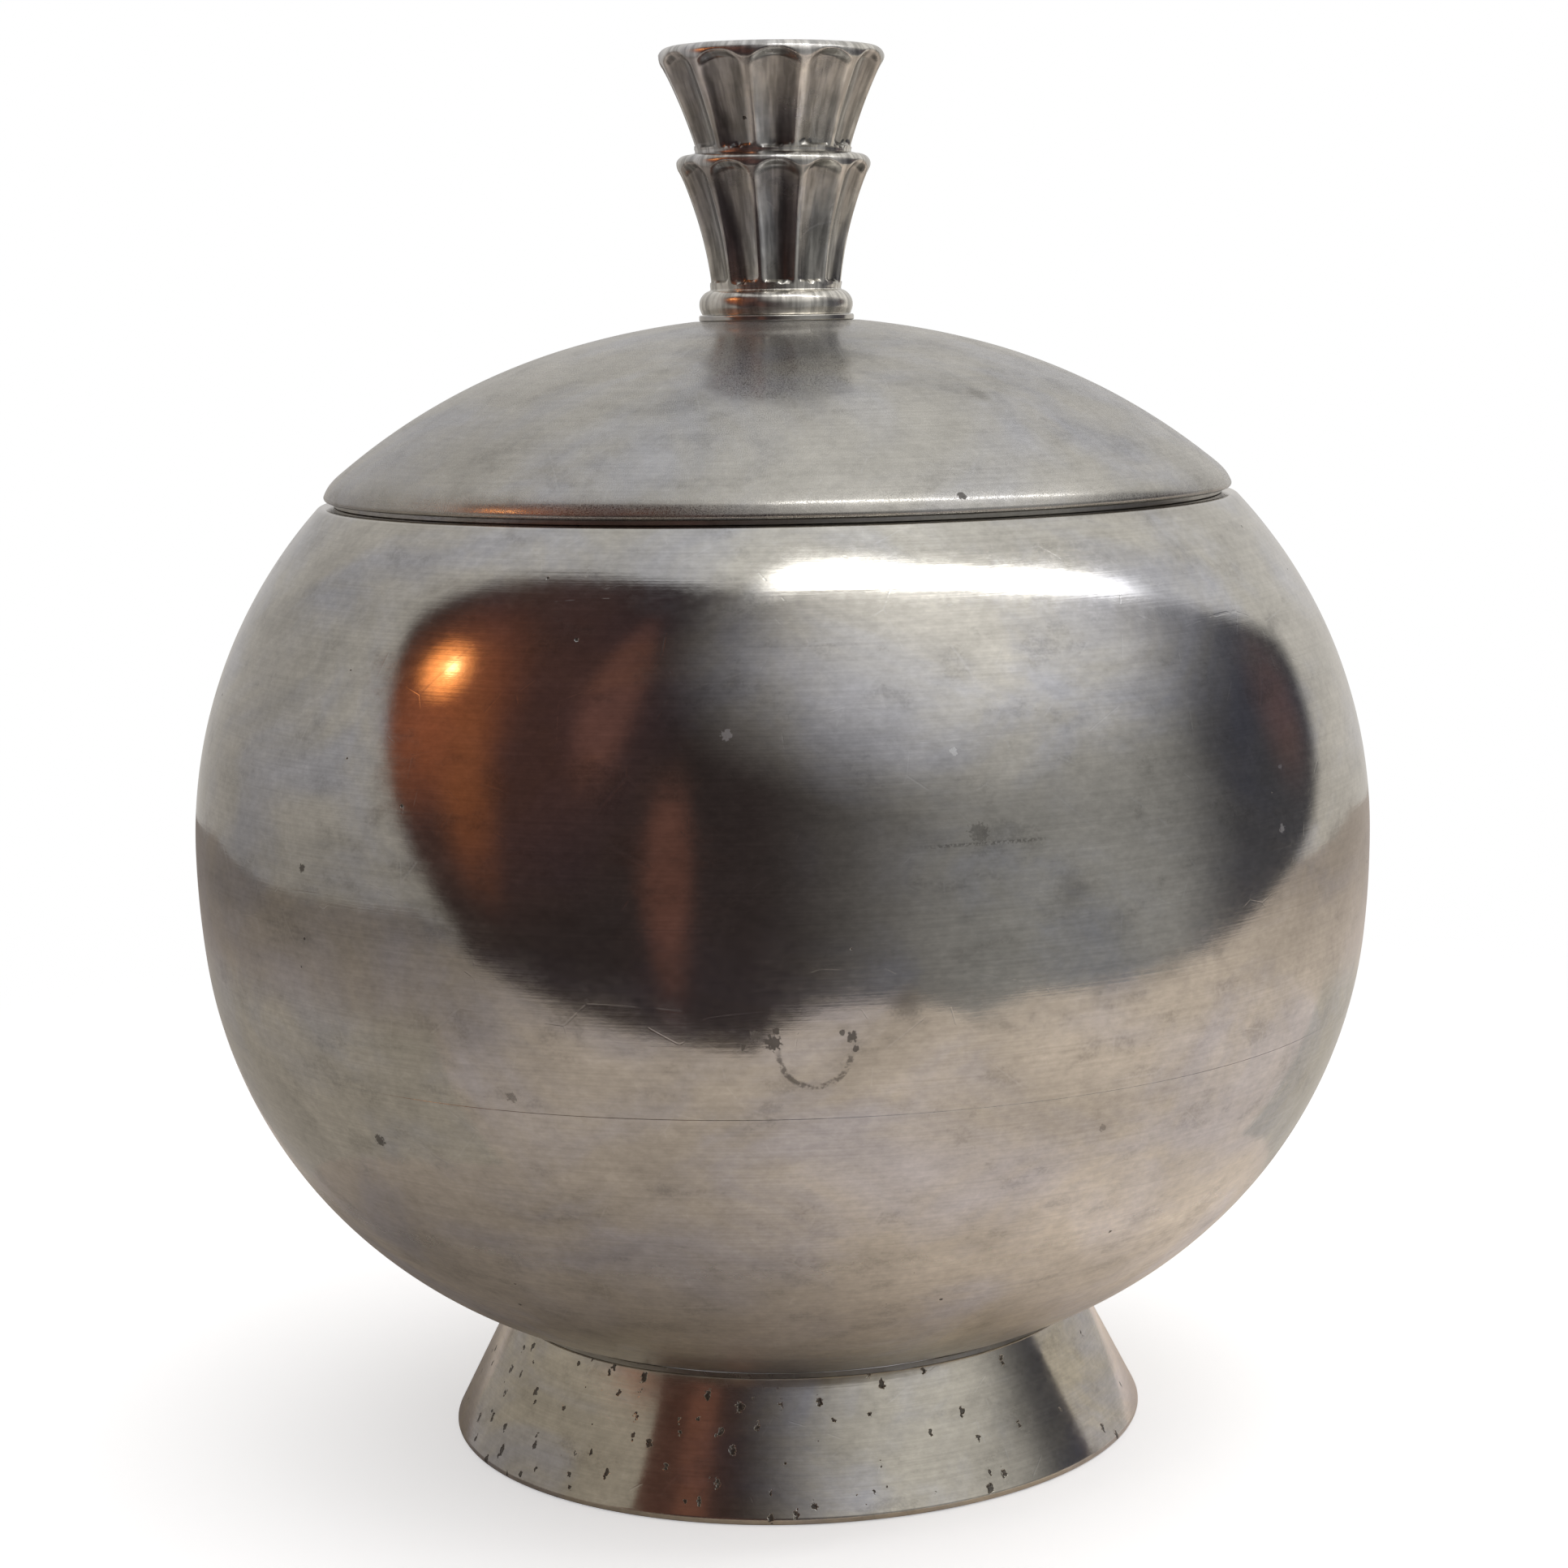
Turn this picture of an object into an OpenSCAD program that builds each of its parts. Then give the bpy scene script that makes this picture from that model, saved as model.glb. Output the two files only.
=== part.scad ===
// Round pewter sugar bowl on a flared foot, with a lift-off domed lid and a fluted two-tier knob.
// Origin: centre of the circle that the foot stands on. +Z up. Millimetres.
// Every round piece is turned about Z from a half outline: x is the radius, y is the height.

/* [Bowl] */
// Diameter at the widest circle
belly_d = 110; // [92:1:132]
// Height of the widest circle above the table
belly_z = 57; // [50:0.5:64]
// Height of the flat seat round the mouth
bowl_h = 88.3; // [82:0.1:106]
// Diameter of the outer edge of the mouth, before that edge is rounded
mouth_d = 85.2; // [72:0.2:100]
// Width of the flat seat round the mouth, from the mouth's outer edge in to its bore
seat_w = 2.2; // [1.8:0.1:2.6]
// Radius of the flatter band just under the widest circle
side_r = 87; // [70:1:120]
// Angle that the flatter band takes up
side_deg = 6.5; // [4:0.5:10]
// Wall of both halves of the bowl
wall = 1.8; // [1.4:0.1:2.6]
// Rounding of the mouth's outer edge
lip_round = 0.9; // [0.4:0.1:1.2]
// Height of the soldered seam between the two halves
seam_z = 42; // [30:1:50]
// Height of the solder in the seam
seam_h = 0.4; // [0.3:0.1:1]

/* [Foot] */
// Diameter of the circle that the foot stands on
foot_d = 66.6; // [60:1:80]
// Diameter of the foot where it meets the bowl
foot_top_d = 54.4; // [46:0.2:58]
// Height of the circle where the foot meets the bowl
foot_h = 12; // [10:0.5:16]
// Wall of the foot
foot_wall = 1.8; // [1.4:0.1:2.6]
// Rounding of the foot's outer bottom edge
foot_round = 0.5; // [0.2:0.1:0.8]
// Thickness of the solder between the foot and the bowl
foot_solder_t = 0.45; // [0.3:0.05:0.8]

/* [Lid] */
// Height of the dome's unflattened top above the seat
lid_rise = 16.7; // [14:0.1:20]
// How far the lid's edge stays inside the mouth's outer edge
lid_inset = 0.1; // [0:0.1:1]
// Shadow gap between the seat and the lid's edge
lid_gap = 0.45; // [0.3:0.05:0.8]
// Wall of the dome
lid_wall = 1.6; // [1.2:0.1:2]
// Radius of the crown of the dome
crown_r = 72; // [66:1:90]
// Half angle of the crown
crown_deg = 15; // [10:1:18]
// Radius with which the dome turns down at its edge
edge_r = 4; // [3:0.5:6]
// How far the centre of that radius lies below the lid's edge
edge_drop = 1; // [0:0.25:1.5]
// Rounding of the lid's bottom outer edge
rim_round = 0.4; // [0.2:0.1:0.5]

/* [Locating ring] */
// How far the ring reaches down into the mouth
ring_drop = 5; // [4:0.5:8]
// Wall of the ring
ring_wall = 1.2; // [1:0.1:1.6]
// Clearance all round between the ring and the mouth
ring_clear = 0.4; // [0.3:0.05:0.8]
// How far the ring's shoulder, which rests on the seat, stays inside the lid's edge
shoulder_in = 1.2; // [1:0.1:1.5]
// Size of the solder fillet inside the ring
ring_fillet = 1.2; // [0.8:0.1:1.6]

/* [Knob] */
// Height of the knob above its collar
knob_h = 24.4; // [20:0.1:29]
// Diameter of the upper tier's rim
upper_rim_d = 21; // [18:0.1:25]
// Diameter at the waist between the tiers
waist_d = 14.5; // [12.5:0.1:15.5]
// Diameter of the lower tier's rim
lower_rim_d = 18.1; // [16.6:0.1:20]
// Diameter at the knob's narrow neck
neck_d = 12.3; // [10.8:0.1:13]
// Height of the lower tier's shoulder above the collar
tier_h = 14.65; // [12:0.1:16]
// Radius of the rounding of the upper rim
upper_round = 1.1; // [0.8:0.1:1.4]
// Radius of the rounding of the lower rim
lower_round = 1; // [0.8:0.1:1.2]
// How far the upper tier's side bows inwards
upper_hollow = 0.2; // [0.1:0.05:0.4]
// How far the lower tier's side bows inwards
lower_hollow = 0.42; // [0.2:0.02:0.6]
// Diameter of the bead at the knob's foot
bead_d = 14.4; // [13.6:0.1:16]
// Radius of the bead's section
bead_round = 1.45; // [1.2:0.05:1.6]
// Height of the bead's centre above the collar
bead_rise = 0.9; // [0.6:0.1:1.2]
// Height of the groove between the bead and the neck
groove_h = 0.4; // [0.2:0.1:0.6]
// Height of the groove between the tiers
waist_h = 0.35; // [0.2:0.05:0.5]
// Turn of the knob's first ridge about the axis, in degrees
knob_turn = 17; // [0:1:30]
// Depth of the dish in the knob's top
dish = 0.7; // [0.3:0.1:1]

/* [Flutes] */
// Number of flutes round each tier
flutes = 12; // [8:1:14]
// Greatest depth of a flute, as a share of the knob's radius beside it
flute_depth = 0.085; // [0.05:0.005:0.1]
// Width of a flute, as a share of its pitch; the rest is the ridge
flute_width = 0.9; // [0.8:0.01:0.96]
// Height of the arch that closes a flute at its top
flute_arch = 1.7; // [1:0.1:2.4]
// Height of plain band under each row of flutes
flute_stop = 0.3; // [0.2:0.05:0.6]

/* [Knob fixing] */
// Diameter of the collar under the knob
collar_d = 14.4; // [13.6:0.1:15]
// Thickness of the collar
collar_t = 0.55; // [0.4:0.05:1]
// Diameter of the threaded stud
stud_d = 4; // [3:1:5]
// Length of the stud inside the knob
stud_grip = 9; // [6:0.5:11]
// Length of the stud beyond the nut
stud_end = 1; // [0.5:0.5:2]
// Clearance all round the stud
stud_clear = 0.1; // [0.05:0.05:0.3]
// Width of the nut across its flats
nut_af = 7; // [6:0.5:9]
// Height of the nut
nut_h = 3.2; // [2:0.2:4]
// Diameter of the washer
washer_d = 9; // [8:0.5:11]
// Thickness of the washer
washer_t = 0.8; // [0.5:0.1:1.2]

/* [Hidden] */
$fn = 128;

// Overlap of cutting tools past the faces that they cut
past = 1;
// A half plane wider than the whole bowl
far = 200;
// Degrees between the points of an arc: in the bowl, in the dome, in small roundings and in the knob
bowl_step = 5;
dome_step = 3;
round_step = 15;
knob_step = 25;

// Radii
belly_r = belly_d / 2;
mouth_r = mouth_d / 2;
foot_r = foot_d / 2;
foot_top_r = foot_top_d / 2;
neck_r = neck_d / 2;
waist_r = waist_d / 2;
upper_rim_r = upper_rim_d / 2;
lower_rim_r = lower_rim_d / 2;
bead_r = bead_d / 2;
stud_hole_r = stud_d / 2 + stud_clear;

// Radius of the arc that starts at p with the inward normal n and ends at q
function arc_r(p, n, q) = ((q - p) * (q - p)) / (2 * (n * (q - p)));
// Radius of the arc that starts at p with the inward normal n and ends tangent to a circle inside it
function blend_r(p, n, c, r) = ((c - p) * (c - p) - r * r) / (2 * (n * (c - p) - r));

// Radius at the height dz above the centre c of a circle of radius r
function reach(c, r, dz) = c[0] + sqrt(r * r - dz * dz);
// Direction from a to b, in degrees above the horizontal
function angle_to(a, b) = atan2(b[1] - a[1], b[0] - a[0]);
// Points along an arc from angle a0 to angle a1, without the first one
function arc(c, r, a0, a1, step = bowl_step) =
    let (n = ceil(abs(a1 - a0) / step))
    [for (i = [1 : n]) c + r * [cos(a0 + (a1 - a0) * i / n), sin(a0 + (a1 - a0) * i / n)]];

// Shoulder of the bowl: one arc, upright at the widest circle, that ends at the mouth
belly = [belly_r, belly_z];
shoulder_r = arc_r(belly, [-1, 0], [mouth_r, bowl_h]);
shoulder_c = belly - [shoulder_r, 0];
// Lower half: the flatter band, then one arc that passes through the foot's top circle
side_c = belly - [side_r, 0];
side_out = [cos(side_deg), -sin(side_deg)];
side_end = side_c + side_r * side_out;
base_r = arc_r(side_end, -side_out, [foot_top_r, foot_h]);
base_c = side_end - base_r * side_out;

// Bore of the mouth, and the angle at which the inside of the shoulder runs into it
mouth_in_r = mouth_r - seat_w;
bore_deg = acos((mouth_in_r - shoulder_c[0]) / (shoulder_r - wall));

// Angle of the foot's side from the upright, and the wall measured level
flare_deg = atan((foot_r - foot_top_r) / foot_h);
foot_wall_level = foot_wall / cos(flare_deg);
// Centre of the rounding of the foot's bottom edge
foot_c = [foot_r - foot_round * tan(45 + flare_deg / 2), foot_round];

// Dome of the lid: crown, haunch and edge arcs, each tangent to the next
lid_r = mouth_r - lid_inset;
lid_z = bowl_h + lid_gap;
lid_top = bowl_h + lid_rise;
crown_c = [0, lid_top - crown_r];
crown_out = [sin(crown_deg), cos(crown_deg)];
crown_end = crown_c + crown_r * crown_out;
edge_c = [lid_r - edge_r, lid_z - edge_drop];
haunch_r = blend_r(crown_end, -crown_out, edge_c, edge_r);
haunch_c = crown_end - haunch_r * crown_out;

// Flat on the dome that the knob's collar sits on, a little wider than the collar
seat_rim = 0.5;
seat_r = max(collar_d, washer_d) / 2 + seat_rim;
knob_seat_z = crown_c[1] + sqrt(crown_r * crown_r - seat_r * seat_r);
knob_z = knob_seat_z + collar_t;

// Locating ring: it hangs in the mouth, and its shoulder rests on the seat
ring_r = mouth_in_r - ring_clear;
ring_in_r = ring_r - ring_wall;
ring_shoulder_r = lid_r - shoulder_in;

// Knob levels
bead_z = knob_z + bead_rise;
neck_z = bead_z + bead_round + groove_h;
lower_rim_z = knob_z + tier_h - lower_round;
waist_z = knob_z + tier_h + waist_h;
upper_rim_z = knob_z + knob_h - upper_round;
// Angle below the horizontal at which a tier's side runs into its rounded rim
rim_deg = 25;
rim_out = [cos(rim_deg), -sin(rim_deg)];
lower_rim_c = [lower_rim_r - lower_round, lower_rim_z];
upper_rim_c = [upper_rim_r - upper_round, upper_rim_z];
bead_c = [bead_r - bead_round, bead_z];
// Angles above the horizontal at which the bead starts on the collar and ends in the groove
bead_start_deg = -asin(bead_rise / bead_round);
bead_end_deg = 75;

// Facets of the knob's skin across one flute
flute_facets = 4;
// Depth of a flute, as a share of its greatest depth, across its width: u runs from -1 to 1, and w is the
// half width there
function flute_section(u, w) = w > 0 && abs(u) < w ? 1 - pow(u / w, 2) : 0;
// Half width at the height z of a flute from low to high, which an arch closes at the top
function flute_half(z, low, high) =
    z < low || z > high ? 0 : z < high - flute_arch ? flute_width
    : flute_width * sqrt(1 - pow((z - high + flute_arch) / flute_arch, 2));
// Depth of the flutes at the height z, at t pitches round the knob from a ridge, as a share of the radius
function flute_share(z, t) =
    let (
        u = 2 * (t - floor(t)) - 1,
        half = z > waist_z ? flute_half(z, waist_z + flute_stop, upper_rim_z)
            : flute_half(z, neck_z + flute_stop, lower_rim_z)
    )
    flute_depth * flute_section(u, half);

// Marks the points of an outline as fluted, 1, or plain, 0
function marked(points, fluted) = [for (p = points) [p[0], p[1], fluted]];
// Points on a tier's side, from p, low, up to q, high, that bows inwards by hollow
function tier_side(p, q, hollow, n = 10) =
    [for (i = [0 : n]) let (t = i / n) p + (q - p) * t - [4 * hollow * t * (1 - t), 0]];
// Half outline of the knob, from the end of the stud's hole to the edge of the dish
knob_line = concat(
    marked([
        [stud_hole_r, knob_z + stud_grip],
        [stud_hole_r, knob_z],
        [reach(bead_c, bead_round, knob_z - bead_z), knob_z]
    ], 0),
    marked(arc(bead_c, bead_round, bead_start_deg, bead_end_deg, knob_step), 0),
    marked([[neck_r, neck_z - groove_h / 2]], 0),
    marked(tier_side([neck_r, neck_z], lower_rim_c + lower_round * rim_out, lower_hollow), 1),
    marked(arc(lower_rim_c, lower_round, -rim_deg, 90, knob_step), 1),
    marked([[waist_r, waist_z - waist_h / 2]], 0),
    marked(tier_side([waist_r, waist_z], upper_rim_c + upper_round * rim_out, upper_hollow), 1),
    marked(arc(upper_rim_c, upper_round, -rim_deg, 90, knob_step), 1),
    marked([[upper_rim_c[0] - upper_round, upper_rim_z + upper_round - dish / 2]], 0)
);

// Knob fixing levels
lid_under_z = knob_seat_z - lid_wall;
washer_z = lid_under_z - washer_t;
nut_z = washer_z - nut_h;
stud_z = nut_z - stud_end;

// Keeps the part of a half outline between two heights and two radii
module band(z0, z1, r0 = 0, r1 = far) {
    intersection() {
        children();
        translate([r0, z0]) square([r1 - r0, z1 - z0]);
    }
}

// Half outline of the bowl below the shoulder, drawn in by the amount inset, from the axis to the widest circle
function bowl_under(inset) = concat(
    [[0, base_c[1] - base_r + inset], base_c - [0, base_r - inset]],
    arc(base_c, base_r - inset, -90, -side_deg),
    arc(side_c, side_r - inset, -side_deg, 0)
);

// Closed half outline of the bowl, grown by the amount grow, with a rounded or a sharp mouth
module bowl_outline(grow = 0, round = 0) {
    corner = [reach(shoulder_c, shoulder_r + grow - round, bowl_h - round - belly_z), bowl_h - round];
    corner_deg = angle_to(shoulder_c, corner);
    polygon(concat(
        [[0, bowl_h]],
        bowl_under(-grow),
        arc(shoulder_c, shoulder_r + grow, 0, corner_deg),
        round > 0 ? arc(corner, round, corner_deg, 90, round_step) : []
    ));
}

// Hollow of the bowl, which runs up into the mouth's bore and on out of the top
module bowl_hollow() {
    polygon(concat(
        [[0, far]],
        bowl_under(wall),
        arc(shoulder_c, shoulder_r - wall, 0, bore_deg),
        [[mouth_in_r, far]]
    ));
}

// Wall of the whole bowl, from its bottom to the seat
module bowl_wall() {
    difference() {
        bowl_outline(0, lip_round);
        bowl_hollow();
    }
}

// Lower half of the bowl, below the seam
module bowl_lower() {
    color("#a39c92") rotate_extrude() band(0, seam_z - seam_h / 2) bowl_wall();
}

// Upper half of the bowl, from the seam to the seat round the mouth
module bowl_upper() {
    color("#a9a49c") rotate_extrude() band(seam_z + seam_h / 2, bowl_h) bowl_wall();
}

// Solder that joins the two halves edge to edge, turned flush
module seam_solder() {
    color("#8d8880") rotate_extrude() band(seam_z - seam_h / 2, seam_z + seam_h / 2) bowl_wall();
}

// Flared collar that the foot is cut from, run on up into the bowl
module foot_flare() {
    top = foot_h + 2 * foot_wall;
    top_r = foot_r - top * tan(flare_deg);
    polygon(concat(
        [[foot_r - foot_wall_level, 0], [foot_c[0], 0]],
        arc(foot_c, foot_round, -90, flare_deg, round_step),
        [[top_r, top], [top_r - foot_wall_level, top]]
    ));
}

// Foot: a flared ring whose top edge follows the bowl
module foot_ring() {
    color("#a7a096") rotate_extrude() difference() {
        foot_flare();
        bowl_outline(foot_solder_t);
    }
}

// Solder between the foot's top edge and the bowl
module foot_solder() {
    color("#b8b3aa") rotate_extrude() intersection() {
        foot_flare();
        difference() {
            bowl_outline(foot_solder_t);
            bowl_outline();
        }
    }
}

// Closed half outline of the dome, drawn in by the amount inset, with a rounded or a sharp bottom edge.
// Its side runs straight down from the edge to the height low.
module dome_outline(inset = 0, round = 0, low = lid_z) {
    corner = [reach(edge_c, edge_r - inset - round, lid_z + round - edge_c[1]), lid_z + round];
    corner_deg = angle_to(edge_c, corner);
    edge_deg = angle_to(haunch_c, edge_c);
    crown_deg_up = 90 - crown_deg;
    seat_deg = asin((knob_seat_z - inset - crown_c[1]) / (crown_r - inset));
    polygon(concat(
        [[0, knob_seat_z - inset], [0, low], [corner[0], low]],
        low < lid_z ? [[corner[0], lid_z]] : [],
        round > 0 ? arc(corner, round, -90, corner_deg, round_step) : [],
        arc(edge_c, edge_r - inset, corner_deg, edge_deg),
        arc(haunch_c, haunch_r - inset, edge_deg, crown_deg_up, dome_step),
        arc(crown_c, crown_r - inset, crown_deg_up, seat_deg, dome_step)
    ));
}

// Domed lid, with a flat for the knob and a hole for its stud
module lid_dome() {
    color("#aaa59d") rotate_extrude() difference() {
        dome_outline(0, rim_round);
        dome_outline(lid_wall);
        square([stud_hole_r, far]);
    }
}

// Locating ring under the lid, with the shoulder that rests on the seat and carries the lid
module lid_flange() {
    ring_z = bowl_h - ring_drop;
    color("#9a958d") rotate_extrude() {
        band(ring_z, lid_top, ring_in_r, ring_r) dome_outline(lid_wall, 0, ring_z);
        band(bowl_h, lid_top, ring_in_r) dome_outline(lid_wall, 0, bowl_h);
        translate([ring_in_r, bowl_h]) square([ring_shoulder_r - ring_in_r, lid_gap]);
    }
}

// Solder fillet between the locating ring and the underside of the dome
module flange_solder() {
    color("#8d8880") rotate_extrude() difference() {
        band(lid_z, lid_top, ring_in_r - ring_fillet, ring_in_r) dome_outline(lid_wall);
        dome_outline(lid_wall + ring_fillet);
    }
}

// Knob: two flared and fluted tiers over a bead, with a dished top and a blind hole for the stud.
// Its skin runs in rings from the end of the stud's hole, down and out, up the side and in over the top.
module knob() {
    turns = len(knob_line);
    around = flutes * flute_facets;
    rings = [for (p = knob_line, i = [0 : around - 1])
        let (a = knob_turn + 360 * i / around, r = p[0] * (1 - p[2] * flute_share(p[1], i / flute_facets)))
        [r * cos(a), r * sin(a), p[1]]];
    ends = [[0, 0, knob_line[0][1]], [0, 0, upper_rim_z + upper_round - dish]];
    skin = [for (k = [0 : turns - 2], i = [0 : around - 1])
        let (j = (i + 1) % around)
        [k * around + j, k * around + i, (k + 1) * around + i, (k + 1) * around + j]];
    hole_end = [for (i = [0 : around - 1]) [turns * around, i, (i + 1) % around]];
    last = (turns - 1) * around;
    top_end = [for (i = [0 : around - 1]) [turns * around + 1, last + (i + 1) % around, last + i]];
    color("#8f8b84") polyhedron(concat(rings, ends), concat(skin, hole_end, top_end));
}

// Thin collar between the knob and the dome
module knob_collar() {
    color("#bdb8b0") rotate_extrude() translate([stud_hole_r, knob_seat_z])
        square([collar_d / 2 - stud_hole_r, collar_t]);
}

// Threaded stud that holds the knob
module knob_stud() {
    color("#b39b5e") translate([0, 0, stud_z]) cylinder(h = knob_z + stud_grip - stud_clear - stud_z, d = stud_d);
}

// Washer under the dome
module knob_washer() {
    color("#a8a8a8") translate([0, 0, washer_z]) difference() {
        cylinder(h = washer_t, d = washer_d);
        translate([0, 0, -past]) cylinder(h = washer_t + 2 * past, r = stud_hole_r);
    }
}

// Hexagon nut on the stud
module knob_nut() {
    color("#b39b5e") translate([0, 0, nut_z]) difference() {
        cylinder(h = nut_h, d = nut_af / cos(30), $fn = 6);
        translate([0, 0, -past]) cylinder(h = nut_h + 2 * past, r = stud_hole_r);
    }
}

bowl_lower();
bowl_upper();
seam_solder();
foot_ring();
foot_solder();
lid_dome();
lid_flange();
flange_solder();
knob();
knob_collar();
knob_stud();
knob_washer();
knob_nut();
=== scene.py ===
"""Looks of the lidded pewter sugar bowl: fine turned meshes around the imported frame, aged pewter, soft light."""
import math

import bmesh
import bpy
import numpy as np
from mathutils import Matrix, Vector, noise


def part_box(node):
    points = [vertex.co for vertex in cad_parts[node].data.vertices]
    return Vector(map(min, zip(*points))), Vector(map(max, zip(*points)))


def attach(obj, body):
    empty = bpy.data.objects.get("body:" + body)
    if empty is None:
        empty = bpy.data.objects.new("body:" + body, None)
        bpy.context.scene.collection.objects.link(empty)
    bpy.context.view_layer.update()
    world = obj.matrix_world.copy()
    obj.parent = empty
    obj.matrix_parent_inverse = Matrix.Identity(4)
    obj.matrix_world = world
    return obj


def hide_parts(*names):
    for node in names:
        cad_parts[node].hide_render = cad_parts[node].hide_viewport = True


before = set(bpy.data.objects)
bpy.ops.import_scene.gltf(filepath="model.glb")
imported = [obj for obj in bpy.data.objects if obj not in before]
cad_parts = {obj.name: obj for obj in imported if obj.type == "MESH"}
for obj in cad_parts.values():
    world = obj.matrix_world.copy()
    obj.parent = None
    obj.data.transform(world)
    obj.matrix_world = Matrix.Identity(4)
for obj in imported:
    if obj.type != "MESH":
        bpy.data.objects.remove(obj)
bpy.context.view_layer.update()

# Sizes are in millimetres, and become metres when a mesh is made.
MM = 0.001
# Faces that meet at more than this angle are shaded as a sharp edge.
SHARP_DEG = 40.0


def size_of(node):
    """Lowest and highest corner of a CAD node, in millimetres."""
    low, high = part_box(node)
    return np.array(low) / MM, np.array(high) / MM


bowl_high = size_of("bowl_upper")[1]
seam_low, seam_high = size_of("seam_solder")
lid_low, lid_high = size_of("lid_dome")
ring_low = size_of("lid_flange")[0]
knob_low, knob_high = size_of("knob")
collar_low, collar_high = size_of("knob_collar")
washer_low, washer_high = size_of("knob_washer")
nut_low, nut_high = size_of("knob_nut")
stud_low, stud_high = size_of("knob_stud")

# Bowl
BELLY_R = bowl_high[0]
BELLY_Z = 57.0
BOWL_H = bowl_high[2]
MOUTH_R = 42.6
SIDE_R = 87.0
SIDE_DEG = 6.5
WALL = 1.8
LIP_ROUND = 0.9
SEAT_W = 2.2
SEAM_Z0 = seam_low[2]
SEAM_Z1 = seam_high[2]
SEAM_LINE = 0.045   # rounding of the lower half's edge, which leaves the fine line
SEAM_SUNK = 0.002   # how far the solder lies under the surface
BOWL_WAVE = 0.05
BOWL_SEED = 2.0

# Foot
FOOT_R = 33.3
FOOT_TOP_R = 27.2
FOOT_H = 12.0
FOOT_WALL = 1.8
FOOT_ROUND = 0.5
FOOT_SOLDER = 0.45
SOLDER_SHY = 0.14    # how far the solder stays inside the foot's two sides
SOLDER_SINK = 0.01   # gap that keeps the solder clear of the bowl
SOLDER_LUMP = 0.05
SOLDER_LUMP_SIZE = 2.2

# Lid
LID_Z = lid_low[2]
LID_R = MOUTH_R - 0.1
LID_TOP = BOWL_H + 16.7
LID_WALL = 1.6
CROWN_R = 72.0
CROWN_DEG = 15.0
EDGE_R = 4.0
EDGE_DROP = 1.0
RIM_ROUND = 0.4
KNOB_SEAT_Z = lid_high[2]
RING_R = MOUTH_R - SEAT_W - 0.4
RING_WALL = 1.2
RING_SHOULDER_R = LID_R - 1.2
RING_Z = ring_low[2]
RING_FILLET = 1.2
FILLET_RUN = 0.12        # how unevenly the solder has run
FILLET_RUN_SIZE = 3.0

# Knob
KNOB_Z = knob_low[2]
KNOB_TOP = knob_high[2]
UPPER_RIM_R = 10.5
WAIST_R = 7.25
LOWER_RIM_R = 9.05
NECK_R = 6.15
TIER_H = 14.65
UPPER_ROUND = 1.1
LOWER_ROUND = 1.0
UPPER_HOLLOW = 0.2
LOWER_HOLLOW = 0.42
BEAD_R = 7.2
BEAD_ROUND = 1.45
BEAD_RISE = 0.9
GROOVE_H = 0.4
WAIST_H = 0.35
DISH = 0.7
RIM_DEG = 25.0
FLUTES = 12
FLUTE_DEPTH = 0.085
FLUTE_WIDTH = 0.9
FLUTE_ARCH = 1.5
FLUTE_TOP = 0.62
FLUTE_END = 0.85
FLUTE_STOP = 0.3
FLUTE_ARCH_POWER = 2.6
FLUTE_SOFT = 0.03        # softness of the ridges between flutes
FLUTE_START = 0.22       # height over which a flute deepens at its foot
LUMP_DEPTH = 0.07        # cast lumps on the bead, and their size
LUMP_SIZE = 2.0
KNOB_TURN = 17.0
STUD_R = stud_high[0]
STUD_HOLE_R = STUD_R + 0.1
STUD_GRIP = 9.0
THREAD_PITCH = 0.7
THREAD_DEPTH = 0.32
THREAD_FADE = 0.35       # length over which the thread fades at each end
NUT_CHAMFER_DEG = 30.0

# Surroundings: the sheet under the bowl has a front edge, a slanted side and a bulge in its front edge
CARD_R = 78.0
CARD_FADE = 9.0
FLOOR_R = 400.0
FLOOR_CELLS = 24
FLOOR_SINK = 0.05
SHEET_FRONT = 155.0
SHEET_SIDE = 279.0
BULGE_X = 35.0
BULGE_Y = 12.0 - SHEET_FRONT
BULGE_R = 50.0

# Camera: place in metres, and yaw, pitch and roll in degrees
CAMERA_AT = (0, -0.306, 0.106)
CAMERA_TURN = (2.600, 7.992, -0.853)
CAMERA_LENS = 74.63
CAMERA_SENSOR = 36.0
CAMERA_SHIFT = (-0.0945, -0.0158)
CAMERA_CLIP = (0.01, 20.0)


# ---------------------------------------------------------------- outlines

def arc(centre, r, a0, a1, step=1.5):
    """Points on an arc from angle a0 to a1, in degrees, both ends included."""
    n = max(2, math.ceil(abs(a1 - a0) / step) + 1)
    a = np.radians(np.linspace(a0, a1, n))
    return np.column_stack([centre[0] + r * np.cos(a), centre[1] + r * np.sin(a)])


def line(*points):
    """A line through the given points."""
    return np.array(points, float)


def sides(*points):
    """One line from each of the points to the next."""
    return [line(a, b) for a, b in zip(points[:-1], points[1:])]


def arc_radius(p, n, q):
    """Radius of the arc that starts at p with the inward normal n and ends at q."""
    d = np.subtract(q, p)
    return d @ d / (2 * np.dot(n, d))


def blend_radius(p, n, c, r):
    """Radius of the arc that starts at p with the inward normal n and ends tangent to a circle inside it."""
    d = np.subtract(c, p)
    return (d @ d - r * r) / (2 * (np.dot(n, d) - r))


def lengths(points):
    """The distance along the line to each of its points."""
    return np.concatenate([[0], np.cumsum(np.linalg.norm(np.diff(points, axis=0), axis=1))])


def resample(points, gap):
    """The same line with its points this far apart."""
    s = lengths(points)
    n = max(2, int(round(s[-1] / gap)) + 1)
    t = np.linspace(0, s[-1], n)
    return np.column_stack([np.interp(t, s, points[:, 0]), np.interp(t, s, points[:, 1])])


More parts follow.
